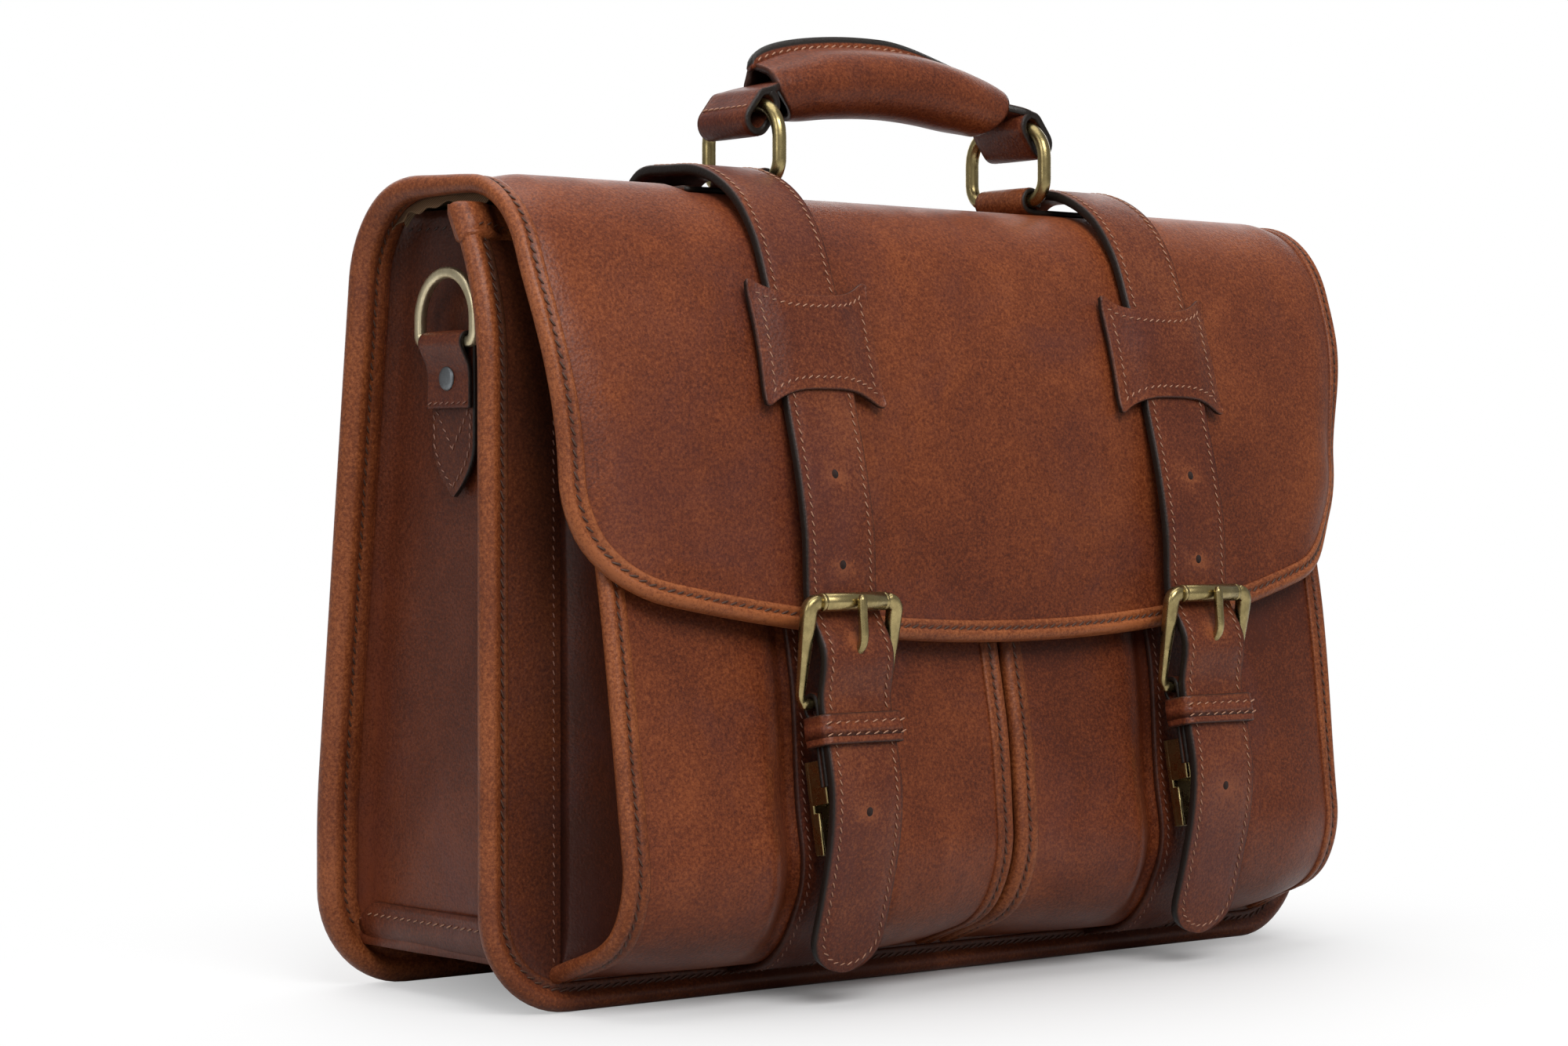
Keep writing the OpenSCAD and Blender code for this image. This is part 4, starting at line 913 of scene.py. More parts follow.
# painted shade: the front panel is darkened all over, more behind the pockets and towards the top of its side
# strips under the flap; its tone is lowered too
painted_shade = 0.34 + 0.16 * smooth(204, 186, across)
painted_shade += 0.14 * smooth(110, 240, verts[:, 2]) * smooth(170, 186, across)
piece("front_leather", (verts, faces, painted_shade, np.full(len(verts), -0.06)), HIDE_SKIN, "case", "front_panel")
s = np.linspace(70, 276, 80)
rows = [(front(s, x, 0.2), normals(front, s, x)) for x in (-WALL_SEAM, WALL_SEAM)]
stitches("front_wall_stitches", rows, SHADED_SKIN, "case", pitch=3.4, length=2.2, thick=0.42, thread=TAB_THREAD)

# Folded hem over the front panel's upper edge, wide enough to cap the rolls
HEM_HALF, CAP_R, CAP_X = 216, 5.8, 210.2
HEM_SECTION = [(14.0, 0), (12.5, 1), (11, 0.8), (8, 1), (3, 1), (0.3, 0.95), (-1.4, 0.6), (-1.9, 0),
               (-1.4, -0.6), (0.3, -0.95), (3, -1), (11, -1)]
ends = np.linspace(HEM_HALF - 20, HEM_HALF, 24)
hem_x = np.unique(join([np.linspace(-HEM_HALF, HEM_HALF, 100), -ends[::-1], ends]))
past = np.clip(np.abs(hem_x) - CAP_X, 0, None)
cap = (np.sqrt(np.clip(CAP_R ** 2 - past ** 2, 0.05, None)) - HIDE_T) * smooth(198, 205, np.abs(hem_x))
hem_s, lift = np.transpose(HEM_SECTION)
over = np.minimum(hem_s, 0)
y, z, h = FRONT.at(np.maximum(hem_s, 0), lift * (HIDE_T + cap[:, None]) - HIDE_T / 2)
verts = xyz(hem_x[:, None], y - np.sin(h) * over, z + np.cos(h) * over).reshape(-1, 3)
piece("front_hem_strip", (verts, tube_faces(len(hem_x), len(hem_s))), TAN_SKIN, "case", "front_hem")
x = np.linspace(-209, 209, 120)
hem_row = front(9.5, x, 1.75 + np.interp(x, hem_x, cap)), normals(front, 9.5, x)
stitches("front_hem_stitches", [hem_row], TAN_SKIN, "case", pitch=3.6, slant=26.0, thread=SEAM_THREAD)

# Gussets, set in between the rolls, their edges curling out to the panels

GUSSET_X, GUSSET_FOOT, GUSSET_T, PANEL_IN = 197, 16.5, 2.0, 3.2
FRONT_CURL, BACK_CURL, GUSSET_SAG, GUSSET_WAVE = 9.0, 2.0, 3.2, 0.9
back_y, back_z, _ = HIDE.at(np.arange(0, S_FOLD, 1.0), -PANEL_IN)


def front_in(z):
    """Y of the front panel's inner face."""
    bent = corner_depth(FRONT_BEND_R - PANEL_IN, z - FRONT_BEND_Z)
    return np.where(z > FRONT_BEND_Z, FRONT_BEND_R - bent, PANEL_IN)


def gusset_point(side, u, z, out=0.0):
    """u runs from 0 at the front to 1 at the back."""
    y0, y1 = front_in(z), np.interp(z, back_z, back_y)
    y = y0 + (y1 - y0) * u
    curl = (FRONT_CURL * np.clip(1 - (y - y0) / 13, 0, 1) ** 2.2
            + BACK_CURL * np.clip(1 - (y1 - y) / 9, 0, 1) ** 2.2)
    sag = (GUSSET_SAG * smooth(40, 200, z) + GUSSET_WAVE * np.sin(z / 23 + 5 * u)) * np.sin(HALF_TURN * u)
    return xyz(side * (GUSSET_X + curl - sag + out), y, z)


def gusset_top(u):
    return 282.5 + 7.5 * smooth(0.04, 0.3, u)


def gusset_normals(side, u, z):
    along = gusset_point(side, u, z + 0.5) - gusset_point(side, u, z - 0.5)
    over = gusset_point(side, u + 0.004, z) - gusset_point(side, u - 0.004, z)
    normal = unit(np.cross(over, along))
    return normal * np.where(normal[..., :1] * side > 0, 1, -1)


for label, side in SIDES:
    u, t = grid((1 - np.cos(np.linspace(0, HALF_TURN, 60))) / 2, np.linspace(0, 1, 84))
    z = GUSSET_FOOT + (gusset_top(u) - GUSSET_FOOT) * t
    verts, faces, rim = slab(gusset_point(side, u, z), gusset_normals(side, u, z), GUSSET_T, 0.3)
    # painted light and shade: lighter towards the bottom and darker towards the top by edge weight, besides
    # the cut rim there; lighter towards the front and back edges
    tone = 0.12 * smooth(9, 0, 60 * np.minimum(u, 1 - u)) + 0.10 * smooth(170, 50, z)
    high = verts[:, 2]
    edge = np.maximum(rim * (high > 280), 0.5 * smooth(205, 280, high))
    piece("gusset_leather_" + label, (verts, faces, edge, on_top(tone, len(verts))), SHADED_SKIN, "case",
          "gusset_" + label)
    u = np.linspace(0.06, 0.94, 60)
    stitches("gusset_stitches_" + label, [(gusset_point(side, u, gusset_top(u) - 6.5, 0.25), [side, 0, 0])],
             SHADED_SKIN, "case", thread=DARK_THREAD)

# Base, its ends turned up over the gussets

BASE_X, BASE_R, BASE_Z, BASE_LIP, BASE_T = 199.8, 10, 16, 33, 2.4
BASE_FRONT, BASE_BACK, LIP_STEPS, LIP_DROP = 4, 102.5, 5, 7
lip = pairs(-BASE_X, np.linspace(BASE_LIP, BASE_Z + BASE_R, LIP_STEPS))
turn = arc(BASE_R, 180, 270, 9, (BASE_R - BASE_X, BASE_Z + BASE_R))[1:]
section = np.vstack([lip, turn, pairs(np.linspace(-188, 0, 40), BASE_Z)])
section = np.vstack([section, section[-2::-1] * [-1, 1]])
run = tangents(section)
y = np.linspace(BASE_FRONT, BASE_BACK, 40)
base = xyz(section[:, :1], y, section[:, 1:])
drop = LIP_DROP * np.clip(1 - np.minimum(y - BASE_FRONT, BASE_BACK - y) / 12, 0, 1) ** 2
fade = np.linspace(1, 0, LIP_STEPS)[:, None]
base[:LIP_STEPS, :, 2] -= drop * fade
base[-LIP_STEPS:, :, 2] -= drop * fade[::-1]
verts, faces, rim = slab(base, xyz(run[:, 1:], 0, -run[:, :1]), BASE_T, 0.4)
piece("base_leather", (verts, faces, rim * 0.8), SHADED_SKIN, "case", "base_panel")
rows = [(xyz(side * 200.1, np.linspace(12, 95, 50), 28.5), [side, 0, 0]) for _, side in SIDES]
stitches("base_stitches", rows, SHADED_SKIN, "case")
board = [np.array(c) / MM + [0, SHIFT, 0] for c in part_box("base_board")]
piece("base_stiffener", block(*np.transpose(board).ravel()), BOARD, "case", "base_board")

# Lining of the compartment

LINING_T, LINING_X, LINING_Z = 0.8, 193, 24.0
x = np.linspace(-LINING_X, LINING_X, 30)
s2, x2 = grid(np.linspace(19, 262, 50), x)
parts = [slab(front(s2, x2, -3.3), normals(front, s2, x2), LINING_T)[:2]]
for _, side in SIDES:
    u, z = grid(np.linspace(0.04, 0.96, 24), np.linspace(LINING_Z, 268, 40))
    wall = gusset_point(side, u, z, -2.4)
    wall[..., 0] = side * np.minimum(np.abs(wall[..., 0]), 195.5)
    parts.append(slab(wall, gusset_normals(side, u, z), LINING_T)[:2])
ground = xyz(x[:, None], np.linspace(4.5, 102, 20), LINING_Z)
parts.append(slab(ground, [0, 0, 1.0], LINING_T)[:2])
piece("compartment_lining", merge(*parts), SHADED_TWILL, "case", "lining")

# Pockets

POCKET_TOP, POCKET_H, FACE_HEADING = 212, 152, 169.0
P_BEND = POCKET_H / math.cos(rad(180 - FACE_HEADING))
POCKET = drawn((-18, POCKET_TOP, FACE_HEADING), [(0, P_BEND), (40, 93), (0, 31)])
STOP = POCKET.length - 1.0
STRAP_X = 92.5
POCKET_OUT, POCKET_IN = 186.0, 1.0                      # a pocket's outer and inner edge
EDGE_STEP, WALL_STEP = 3.2, 5.0                         # from there in to its wall, in front and behind
POCKET_T, WALL_T = 2.8, 1.6
PUFF, LEFT_FALL, RIGHT_FALL, INNER_FALL, GROOVE = 2.0, 5.5, 9.5, 7.0, 5.5
SEWN_SIZE, SEWN_SHIFT = (28, 3.0, 2.8), 1.5


def pocket_dent(s, x):
    """Each half puffs out beside its strap, which draws it in, and falls back to its sides."""
    off = np.abs(x) - STRAP_X
    puff = PUFF * smooth(14.5, 28, np.abs(off)) - bell(np.abs(off) - 16.0, 3.0)
    to_out = np.clip(off, 0, None) / (POCKET_OUT - STRAP_X)
    to_in = np.clip(-off, 0, None) / (STRAP_X - POCKET_IN)
    outer = np.where(x > 0, RIGHT_FALL, LEFT_FALL) * to_out ** 4 * smooth(60, P_BEND + 25, s)
    inner = INNER_FALL * to_in ** 3 * smooth(110, P_BEND + 30, s)
    groove = GROOVE * smooth(92, 148, s) * smooth(P_BEND + 62, P_BEND + 26, s) * smooth(31, 17, np.abs(off))
    level = puff * smooth(P_BEND + 60, P_BEND + 30, s) - outer - inner - groove
    return level * (1 - smooth(POCKET.length - 40, POCKET.length - 5, s))


pocket = surface(POCKET, pocket_dent)
s = np.arange(14, STOP - 3, 1.5)
SEWN = Line(pairs(*POCKET.at(s, pocket_dent(s, STRAP_X))[:2]))
for label, side in SIDES:
    s = np.unique(join([np.arange(0, STOP, 2.5), [STOP]]))
    x = side * np.unique(join([np.linspace(4.5, 182.5, 70), np.linspace(70, 117, 36)]))
    s2, x2 = grid(s, x)
    verts, faces, _ = slab(pocket(s2, x2), normals(pocket, s2, x2), POCKET_T)
    # tone: a painted highlight along the bend, painted shade beside the sewn strap, towards the top under the
    # flap and over the right pocket
    tone = (0.04 * bell(s2 - P_BEND, 40) - 0.10 * bell(np.abs(np.abs(x2) - STRAP_X) - 15.5, 3.0)
            - 0.08 * smooth(130, 40, s2) - 0.14 * smooth(0, 30, x2))
    piece("pocket_front_" + label, (verts, faces, None, on_top(tone, len(verts))), HIDE_SKIN, "case",
          "pocket_panel_" + label)
    binding, rows, walls = [], [], []
    t = np.linspace(0, 1, 14)
    for x_edge, away in ((side * POCKET_OUT, side), (side * POCKET_IN, -side)):
        part, line, _ = bound_edge(pocket, s, np.full(len(s), x_edge), POCKET_ROLL, False,
                                   toward=(100, side * STRAP_X))
        binding.append(part)
        rows.append(line)
        lip = pocket(s, x_edge - away * EDGE_STEP, -2.2)
        high = np.clip(lip[:, 2], 10, POCKET_TOP)
        foot = xyz(x_edge - away * WALL_STEP, np.interp(high, FRONT.z[::-1], FRONT.y[::-1]) - 0.3, high)
        wall = lip[:, None] * (1 - t[:, None]) + foot[:, None] * t[:, None]
        tuck = np.clip(np.abs(lip[:, 1] - foot[:, 1]) / 5, 0, 6.0)
        wall[..., 0] -= away * tuck[:, None] * np.sin(HALF_TURN * t) ** 0.8
        walls.append(slab(wall, X_AXIS * away, WALL_T)[:2])
    piece("pocket_edging_" + label, merge(*binding), TAN_SKIN, "case", "pocket_binding_" + label)
    stitches("pocket_edging_stitches_" + label, rows, TAN_SKIN, "case", **SEAM)
    verts, faces, blank, _ = merge(*walls)
    # painted shade: the pocket walls are darkened by edge weight and tone
    piece("pocket_gusset_" + label, (verts, faces, blank + 0.3, blank - 0.22), SHADED_SKIN, "case",
          "pocket_walls_" + label)
    verts, faces, edge = ribbon(SEWN, side * STRAP_X + SEWN_SHIFT, SEWN_SIZE, 0, SEWN.length, out=1.2)
    # tone darkens the sewn strap as painted shade under the hanging strap
    part = verts, faces, edge * 0.6, np.full(len(verts), -0.14)
    piece("pocket_strap_sewn_" + label, part, STRAP_SKIN, "case", "pocket_strap_" + label)
    y, z, h = SEWN.at(np.arange(2, SEWN.length - 2, 2.5), 2.75)
    rows = [(xyz(side * STRAP_X + off, y, z), outward(h)) for off in (-9.7, 12.7)]
    stitches("pocket_strap_stitches_" + label, rows, STRAP_SKIN, "case", thread=TAB_THREAD, **STRAP_SEAM)

# Straps with patches, chapes, keepers, buckles and clasps

STACK = np.array([-38.3212, 107.457])                   # on the pocket front, behind the buckle's lower bar
OUT2 = np.array([math.cos(rad(FACE_HEADING)), math.sin(rad(FACE_HEADING))])
UP2 = np.array([OUT2[1], -OUT2[0]])


def stack(out, up):
    """Y, Z of a point out from the pocket front and up along it."""
    return STACK + np.asarray(out, float)[..., None] * OUT2 + np.asarray(up, float)[..., None] * UP2


def stack3(x, out, up):
    points = stack(out, up)
    return xyz(x, points[..., 0], points[..., 1])


STRAP_W, STRAP_T, STRAP_TIP, STITCH_X = 33, 4.2, 15, 13.2
STRAP_SIZE = STRAP_W, STRAP_T, STRAP_W / 2 - STITCH_X   # width, thickness, stitch row in from the edge
KEEPER_SIZE, CHAPE_SIDE, CHAPE_MIDDLE = (11.3, 2.3, 3.5, 0.3), (13.3, 2.2, 2.5), (4.6, 2.1, 2)


def over_hide(s, lift):
    return HIDE.at(s, lift + STRAP_T / 2)[:2]


def on_ridge(degrees):
    return S_RIDGE + RIDGE_R * rad(degrees)


BAR_O, MID_O, BUCKLE_L, TILT = 13.9, 21.01, 37.5, rad(20)
ROLL_O, ROLL_W, ROLLER_R = BAR_O + BUCKLE_L * math.sin(TILT), BUCKLE_L * math.cos(TILT), 3.4
STRAP_OVER = [(S_FOLD + TOP_R * rad(9), 0.8), (S_TOP, 7.0), (S_TOP + TOP_FLAT / 2, 7.4), (on_ridge(8), 5.9),
              (on_ridge(32), 3.4), (on_ridge(56), 1.2), (S_FRONT + 10, 0.6), (S_FRONT + 33, 0.6),
              (S_FRONT + 56, 0.6), (S_FALL + 2, 3.6), (S_FALL + 26, 5.4)]
STRAP_DOWN = [(ROLL_O - 6.5, ROLL_W), (MID_O + 4.6, 17), (MID_O, 1), (MID_O, -15), (MID_O, -32),
              (MID_O - 3.8, -48), (MID_O - 11, -65), (MID_O - 19, -81), (MID_O - 26.5, -95)]
STRAP = Line(spline([over_hide(*knot) for knot in STRAP_OVER] + [stack(*knot) for knot in STRAP_DOWN]))


def strap_s(points):
    """Length along the strap nearest to points in Y, Z."""
    points = np.atleast_2d(points)
    return STRAP.s[np.argmin((STRAP.y - points[:, :1]) ** 2 + (STRAP.z - points[:, 1:]) ** 2, 1)]


PIERCED = MID_O + 1.6, 14.8                             # where the prong passes the strap
PRONG_S = strap_s(stack(*PIERCED))[0]
HOLES = strap_s([HIDE.at(S_FALL + 4, 4)[:2], HIDE.at(S_FALL + 36, 6)[:2], stack(MID_O, -40)])
PATCH_HALF, PATCH_SHIFT, PATCH_TOP, PATCH_END, PATCH_SEAM = 28.5, 2.5, S_FRONT + 9, S_FRONT + 59.5, 4.0
PATCH_T, PATCH_HIGH, PATCH_FALL, HOLLOW = 2.5, 7.3, 3.0, 8.0


def patch_lift(off):
    """Height of a patch's face over the flap, off from the strap's middle: over the strap, then down."""
    return PATCH_HIGH - PATCH_FALL * smooth(11.0, 29.0, off)


def patch_place(a, b, inset=0.0):
    """Place on the flap of a patch's point; a and b run from -1 to 1 down and across, its ends hollow."""
    corner = np.clip((np.abs(b) - 0.88) / 0.12, 0, 1)
    hollow = HOLLOW * (1 - np.abs(b) ** 3.2) + 3.4 * (1 - np.sqrt(1 - corner ** 2)) + inset
    s = PATCH_TOP + hollow + (PATCH_END - PATCH_TOP - 2 * hollow) * (a + 1) / 2
    return s, PATCH_HALF * b * (1 - 0.03 * (1 - a ** 2))


KEEP_HALF_W, KEEP_HALF_T, KEEP_MID, KEEP_W = 18.1, 6.205, BAR_O + 4.605, -10.31
FRAME_HALF_W, FRAME_HALF_L, FRAME_BAR, FRAME_CORNERS = 20.4, BUCKLE_L / 2, 4.2, [3.6, 3.6, 4.5, 4.5]
LEG_FOOT, LEG_GAIN = (3.0, 3.4), (2.9, 1.6)             # a leg's width and depth below, and what they gain
ROLLER_HALF = [(15.4, 2.3), (15.4, 3.15), (15.2, ROLLER_R), (14.2, ROLLER_R), (14.0, 3.2), (13.8, ROLLER_R)]
PRONG_EYE, EYE_WIRE_R = 5.8, 0.75
CHAPE_R, CHAPE_END, CHAPE_APART = 3.28, -30, 8.85
CLASP_PLATE = [(-12, 12, 2.5, 5.1, -53.8, -19.8), (-12, -10.8, 3.9, 13.3, -35.8, -19.8),
               (10.8, 12, 3.9, 13.3, -35.8, -19.8), (-12, -10.8, 3.9, 7.5, -53.8, -38.5)]
CLASP_TONGUE = (-10.4, 10.4, 5.5, 13.5, -35.8, -19.8)


def make_strap(label, x0):
    verts, faces, edge = ribbon(STRAP, x0, STRAP_SIZE, 0.5, STRAP.length, 1.6, STRAP_TIP)
    s, off = strap_s(verts[:, 1:]), verts[:, 0] - x0
    tone = -0.06 * smooth(STRAP.length - 70, STRAP.length - 20, s)
    tone += 0.42 * np.exp(-((s - PRONG_S + 6) ** 2 / 16 + off ** 2 / 18))
    for hole in HOLES:
        tone += 0.42 * np.exp(-((s - hole - 1) ** 2 + (off - 1) ** 2) / 9)
    piece("strap_band_" + label, (verts, faces, edge, tone), STRAP_SKIN, "flap", "strap_" + label)
    turn = np.linspace(0, HALF_TURN, 24)[1:-1]
    down = np.arange(4, STRAP.length - STRAP_TIP, 2.0)
    s = join([down, STRAP.length - STRAP_TIP + 11.7 * np.sin(turn), down[::-1]])
    x = STITCH_X * join([np.full(len(down), -1), -np.cos(turn), np.ones(len(down))])
    y, z, h = STRAP.at(s, STRAP_T / 2)
    stitches("strap_stitches_" + label, [(xyz(x0 + x, y, z), outward(h))], STRAP_SKIN, "flap", **STRAP_SEAM)
    # near black discs on the holes, as painted shadow inside them
    ring = ring_section(3.0, 3.4, 2.0, 18)
    dots = []
    for hole in HOLES:
        y, z, h = STRAP.at(hole, STRAP_T / 2 + 0.03)
        rim = xyz(x0 + ring[:, 0], y - math.sin(h) * ring[:, 1], z + math.cos(h) * ring[:, 1])
        dots.append((np.vstack([rim - outward(h) * 0.5, rim]), tube_faces(2, len(ring))))
    piece("strap_holes_" + label, merge(*dots), HOLE_SHADOW, "flap")


def make_patch(label, side, x0):
    middle = x0 - side * PATCH_SHIFT
    a, b = grid(eased(30, 1.4), eased(60, 1.4))
    s, x = patch_place(a, b)
    x = x + middle
    lift = patch_lift(np.abs(x - x0)) + 1.3 * np.abs(a * b) ** 6
    verts, faces, rim = slab(hide(s, x, lift), normals(hide, s, x), PATCH_T, 0.5)
    tone = on_top(0.10 * np.maximum(np.abs(a), np.abs(b)) ** 8 - 0.05, len(verts))
    piece("patch_leather_" + label, (verts, faces, rim, tone), STRAP_SKIN, "flap", "patch_" + label)
    run, one = np.linspace(-1, 1, 40), np.ones(40)
    s, x = patch_place(join([-one, run, one, -run]),
                       join([run, one, -run, -one]) * (1 - PATCH_SEAM / PATCH_HALF), PATCH_SEAM)
    x = x + middle
    seam = hide(s, x, patch_lift(np.abs(x - x0)) + 0.15), normals(hide, s, x), True
    stitches("patch_stitches_" + label, [seam], STRAP_SKIN, "flap", **STRAP_SEAM)


def make_chape(label, x0):
    """Folded round the lower bar, open in the middle for the prong."""
    turn = arc(CHAPE_R, 0, 180, 15)
    out = join([np.full(10, CHAPE_R), turn[:, 0], [-3.1, -1.9, -0.3, 0.8], np.full(8, 0.93)])
    up = join([np.linspace(CHAPE_END, -0.5, 10), turn[:, 1], [-2.5, -5.5, -8.5, -12],
               np.linspace(-14, CHAPE_END, 8)])
    line = Line(stack(BAR_O + out, up))
    parts = [ribbon(line, x0 + d * CHAPE_APART, CHAPE_SIDE, 0, line.length, 1.2) for d in (-1, 1)]
    for ends in ((0, 24.0), (line.length - 16, line.length)):
        parts.append(ribbon(line, x0, CHAPE_MIDDLE, *ends, 1.5))
    piece("chape_leather_" + label, merge(*parts), STRAP_SKIN, "flap", "chape_" + label)


def make_keeper(label, x0):
    loop = rounded_loop(KEEP_HALF_W, KEEP_HALF_T, 2.6, 0.7)
    centre = stack3(x0 + loop[:, 0], KEEP_MID + loop[:, 1], np.full(len(loop), KEEP_W))
    run = tangents(loop, True)
    up = xyz(run[:, 1], -run[:, 0] * OUT2[0], -run[:, 0] * OUT2[1])
    part = strap_along(centre, np.array([0, *UP2]), up, KEEPER_SIZE, closed=True, dye=0.8)
    piece("keeper_leather_" + label, part, STRAP_SKIN, "flap", "keeper_" + label)
    x = x0 + np.linspace(-17.4, 17.4, 20)
    rows = [(stack3(x, KEEP_MID + KEEP_HALF_T + 1.0, KEEP_W + d), [0, *OUT2]) for d in (-2.15, 2.15)]
    stitches("keeper_stitches_" + label, rows, STRAP_SKIN, "flap", pitch=3.9, length=3.2)


def make_buckle(label, x0):
    """Frame square shouldered above and tapering down the legs, its roller and its prong."""
    loop = rounded_loop(FRAME_HALF_W, FRAME_HALF_L, FRAME_CORNERS, 0.7)
    up = loop[:, 1] + FRAME_HALF_L
    centre = stack3(x0 + loop[:, 0], BAR_O + up * math.sin(TILT), up * math.cos(TILT))
    run = tangents(loop, True)
    rise = np.array([0, *(math.sin(TILT) * OUT2 + math.cos(TILT) * UP2)])
    face = np.array([0, *(math.cos(TILT) * OUT2 - math.sin(TILT) * UP2)])
    leg = smooth(2, 37, up)
    bar = (up < 1.0) | (up > 36.5) & (np.abs(loop[:, 0]) < 16.5)
    size = np.where(bar, FRAME_BAR, [foot + gain * leg for foot, gain in zip(LEG_FOOT, LEG_GAIN)]).T
    profile = ring_section(1, 1, 3.6, 16)[None] * size[:, None]
    part = sweep(centre, run[:, 1:] * X_AXIS - run[:, :1] * rise, face, profile, True)
    piece("buckle_frame_" + label, part, BRASS, "flap", "buckle_" + label)
    x, r = np.transpose(ROLLER_HALF)
    part = tube(stack3(x0 + join([-x, x[::-1]]), ROLL_O, ROLL_W), join([r, r[::-1]]), count=24)
    piece("roller_tube_" + label, part, BRASS, "roller_" + label, "roller_" + label)
    top = ROLL_O + ROLLER_R + 1.7
    knots = [(BAR_O + 0.5, 2.86), (BAR_O + 2.6, 9), PIERCED, (MID_O + 8.5, 19.8), (top - 0.6, ROLL_W - 5.5),
             (top + 0.4, ROLL_W + 1.5)]
    path = spline([stack(*knot) for knot in knots], 10)
    last = len(path) - 1
    r = np.interp(np.arange(len(path)), [0, last - 8, last - 2, last], [1.45, 1.7, 1.6, 0.9])
    shaft = tube(xyz(x0, path[:, 0], path[:, 1]), r, up=X_AXIS, power=2.8)
    ring = ring_section(PRONG_EYE, PRONG_EYE, count=28)
    eye = tube(stack3(x0, BAR_O + ring[:, 0], ring[:, 1]), EYE_WIRE_R, True, up=X_AXIS, flat=2.0)
    piece("prong_pin_" + label, merge(shaft, eye), BRASS, "prong_" + label, "prong_" + label)


def make_clasp(label, x0):
    for name, boxes, body, node in (("clasp_back_", CLASP_PLATE, "case", "clasp_plate_"),
                                    ("clasp_catch_", [CLASP_TONGUE], "flap", "clasp_tongue_")):
        verts, faces, _, _ = merge(*(block(*box) for box in boxes))
        part = stack3(x0 + verts[:, 0], verts[:, 1], verts[:, 2]), faces
        piece(name + label, part, BRASS, body, node + label)


for label, side in SIDES:
    x0 = side * STRAP_X
    make_strap(label, x0)
    make_patch(label, side, x0)
    make_chape(label, x0)
    make_keeper(label, x0)
    make_buckle(label, x0)
    make_clasp(label, x0)

# Handle

RING_X, RING_Y, RING_Z, RING_HALF_H = 69.5, 33.1508, 305.01, 15.0
RING_TOP = RING_Z + 2 * RING_HALF_H
BOW_R, BOW_END = 228.0, 17.7476
BOW_Z = 339.82 - BOW_R * math.cos(rad(BOW_END))
ANCHOR_R, ANCHOR_Z, LOOP_R, LOOP_TURN = 4.31, 300.35, 4.81, 38.16
RING_WIRE_R, LOOP_HALF, NECK_HALF, LOOP_T, LOOP_GROOVE = 2.72, 15.2, 7.6, 3.4, 0.1
ANCHOR_SIZE, LOOP_SIZE = (29, 2.6, 2.4, 0.2), (2 * LOOP_HALF, LOOP_T, 3.0, LOOP_GROOVE)


def bow(radius, degrees, y):
    """A point on the handle's arc: radius, angle from upright, place across."""
    a = np.radians(degrees)
    return xyz(radius * np.sin(a), RING_Y + y, BOW_Z + radius * np.cos(a))


for label, side in SIDES:
    loop = rounded_loop(21.5, RING_HALF_H, [13.0, 13.0, 8.5, 8.5], 0.9)
    wire = xyz(side * RING_X, RING_Y + loop[:, 0], RING_Z + RING_HALF_H + loop[:, 1])
    part = tube(wire, RING_WIRE_R, True, up=X_AXIS, count=18)
    piece("handle_ring_wire_" + label, part, BRASS, "ring_" + label, "handle_ring_" + label)
    # a strip folded round the ring's lower bar
    strip = pairs(RING_X + np.linspace(40, 1.5, 12), ANCHOR_Z)
    path = np.vstack([strip, arc(ANCHOR_R, 270, -35, 34, (RING_X, RING_Z))])
    part, _, _ = folded_band(path, side, RING_Y, ANCHOR_SIZE)
    piece("ring_anchor_leather_" + label, part, TAN_SKIN, "flap", "ring_anchor_" + label)

loops, rows = [], []
for label, side in SIDES:
    ring, far = (RING_X, RING_TOP), (RING_X + 5.0, RING_TOP - 6.4)
    back = LOOP_TURN - 180
    path = np.vstack([arc(BOW_R, 83, 90 - BOW_END, 20, (0, BOW_Z)),
                      arc(LOOP_R, 72.25, LOOP_TURN, 8, ring)[1:], arc(LOOP_R, LOOP_TURN, back, 18, far),
                      arc(LOOP_R, back, back - 125, 14, ring)])
    s = np.arange(0, travel(path)[-1], 1.0)
    path = resample(path, s)
    half = NECK_HALF + (LOOP_HALF - NECK_HALF) * smooth(27, 41, s)
    part, centre, up = folded_band(path, side, RING_Y, LOOP_SIZE, half / LOOP_HALF)
    loops.append(part)
    i = int(np.argmin(np.hypot(path[:, 0] - RING_X - 8.4, path[:, 1] - RING_TOP + 2.2)))
    x, _, z = centre[i] + up[i] * 1.8
    rows.append((xyz(x, RING_Y + np.linspace(-12, 12, 14), z), up[i]))
degrees = np.linspace(-8, 8, 30)
up = xyz(np.sin(np.radians(degrees)), 0, np.cos(np.radians(degrees)))
neck_size = 2 * NECK_HALF, LOOP_T, 3, LOOP_GROOVE
loops.append(strap_along(bow(BOW_R, degrees, 0.0), Y_AXIS, up, neck_size))
piece("handle_loops", merge(*loops), STRAP_SKIN, "handle", "handle_strap")
stitches("handle_loop_stitches", rows, STRAP_SKIN, "handle", pitch=3.4, length=2.8, thick=0.8)

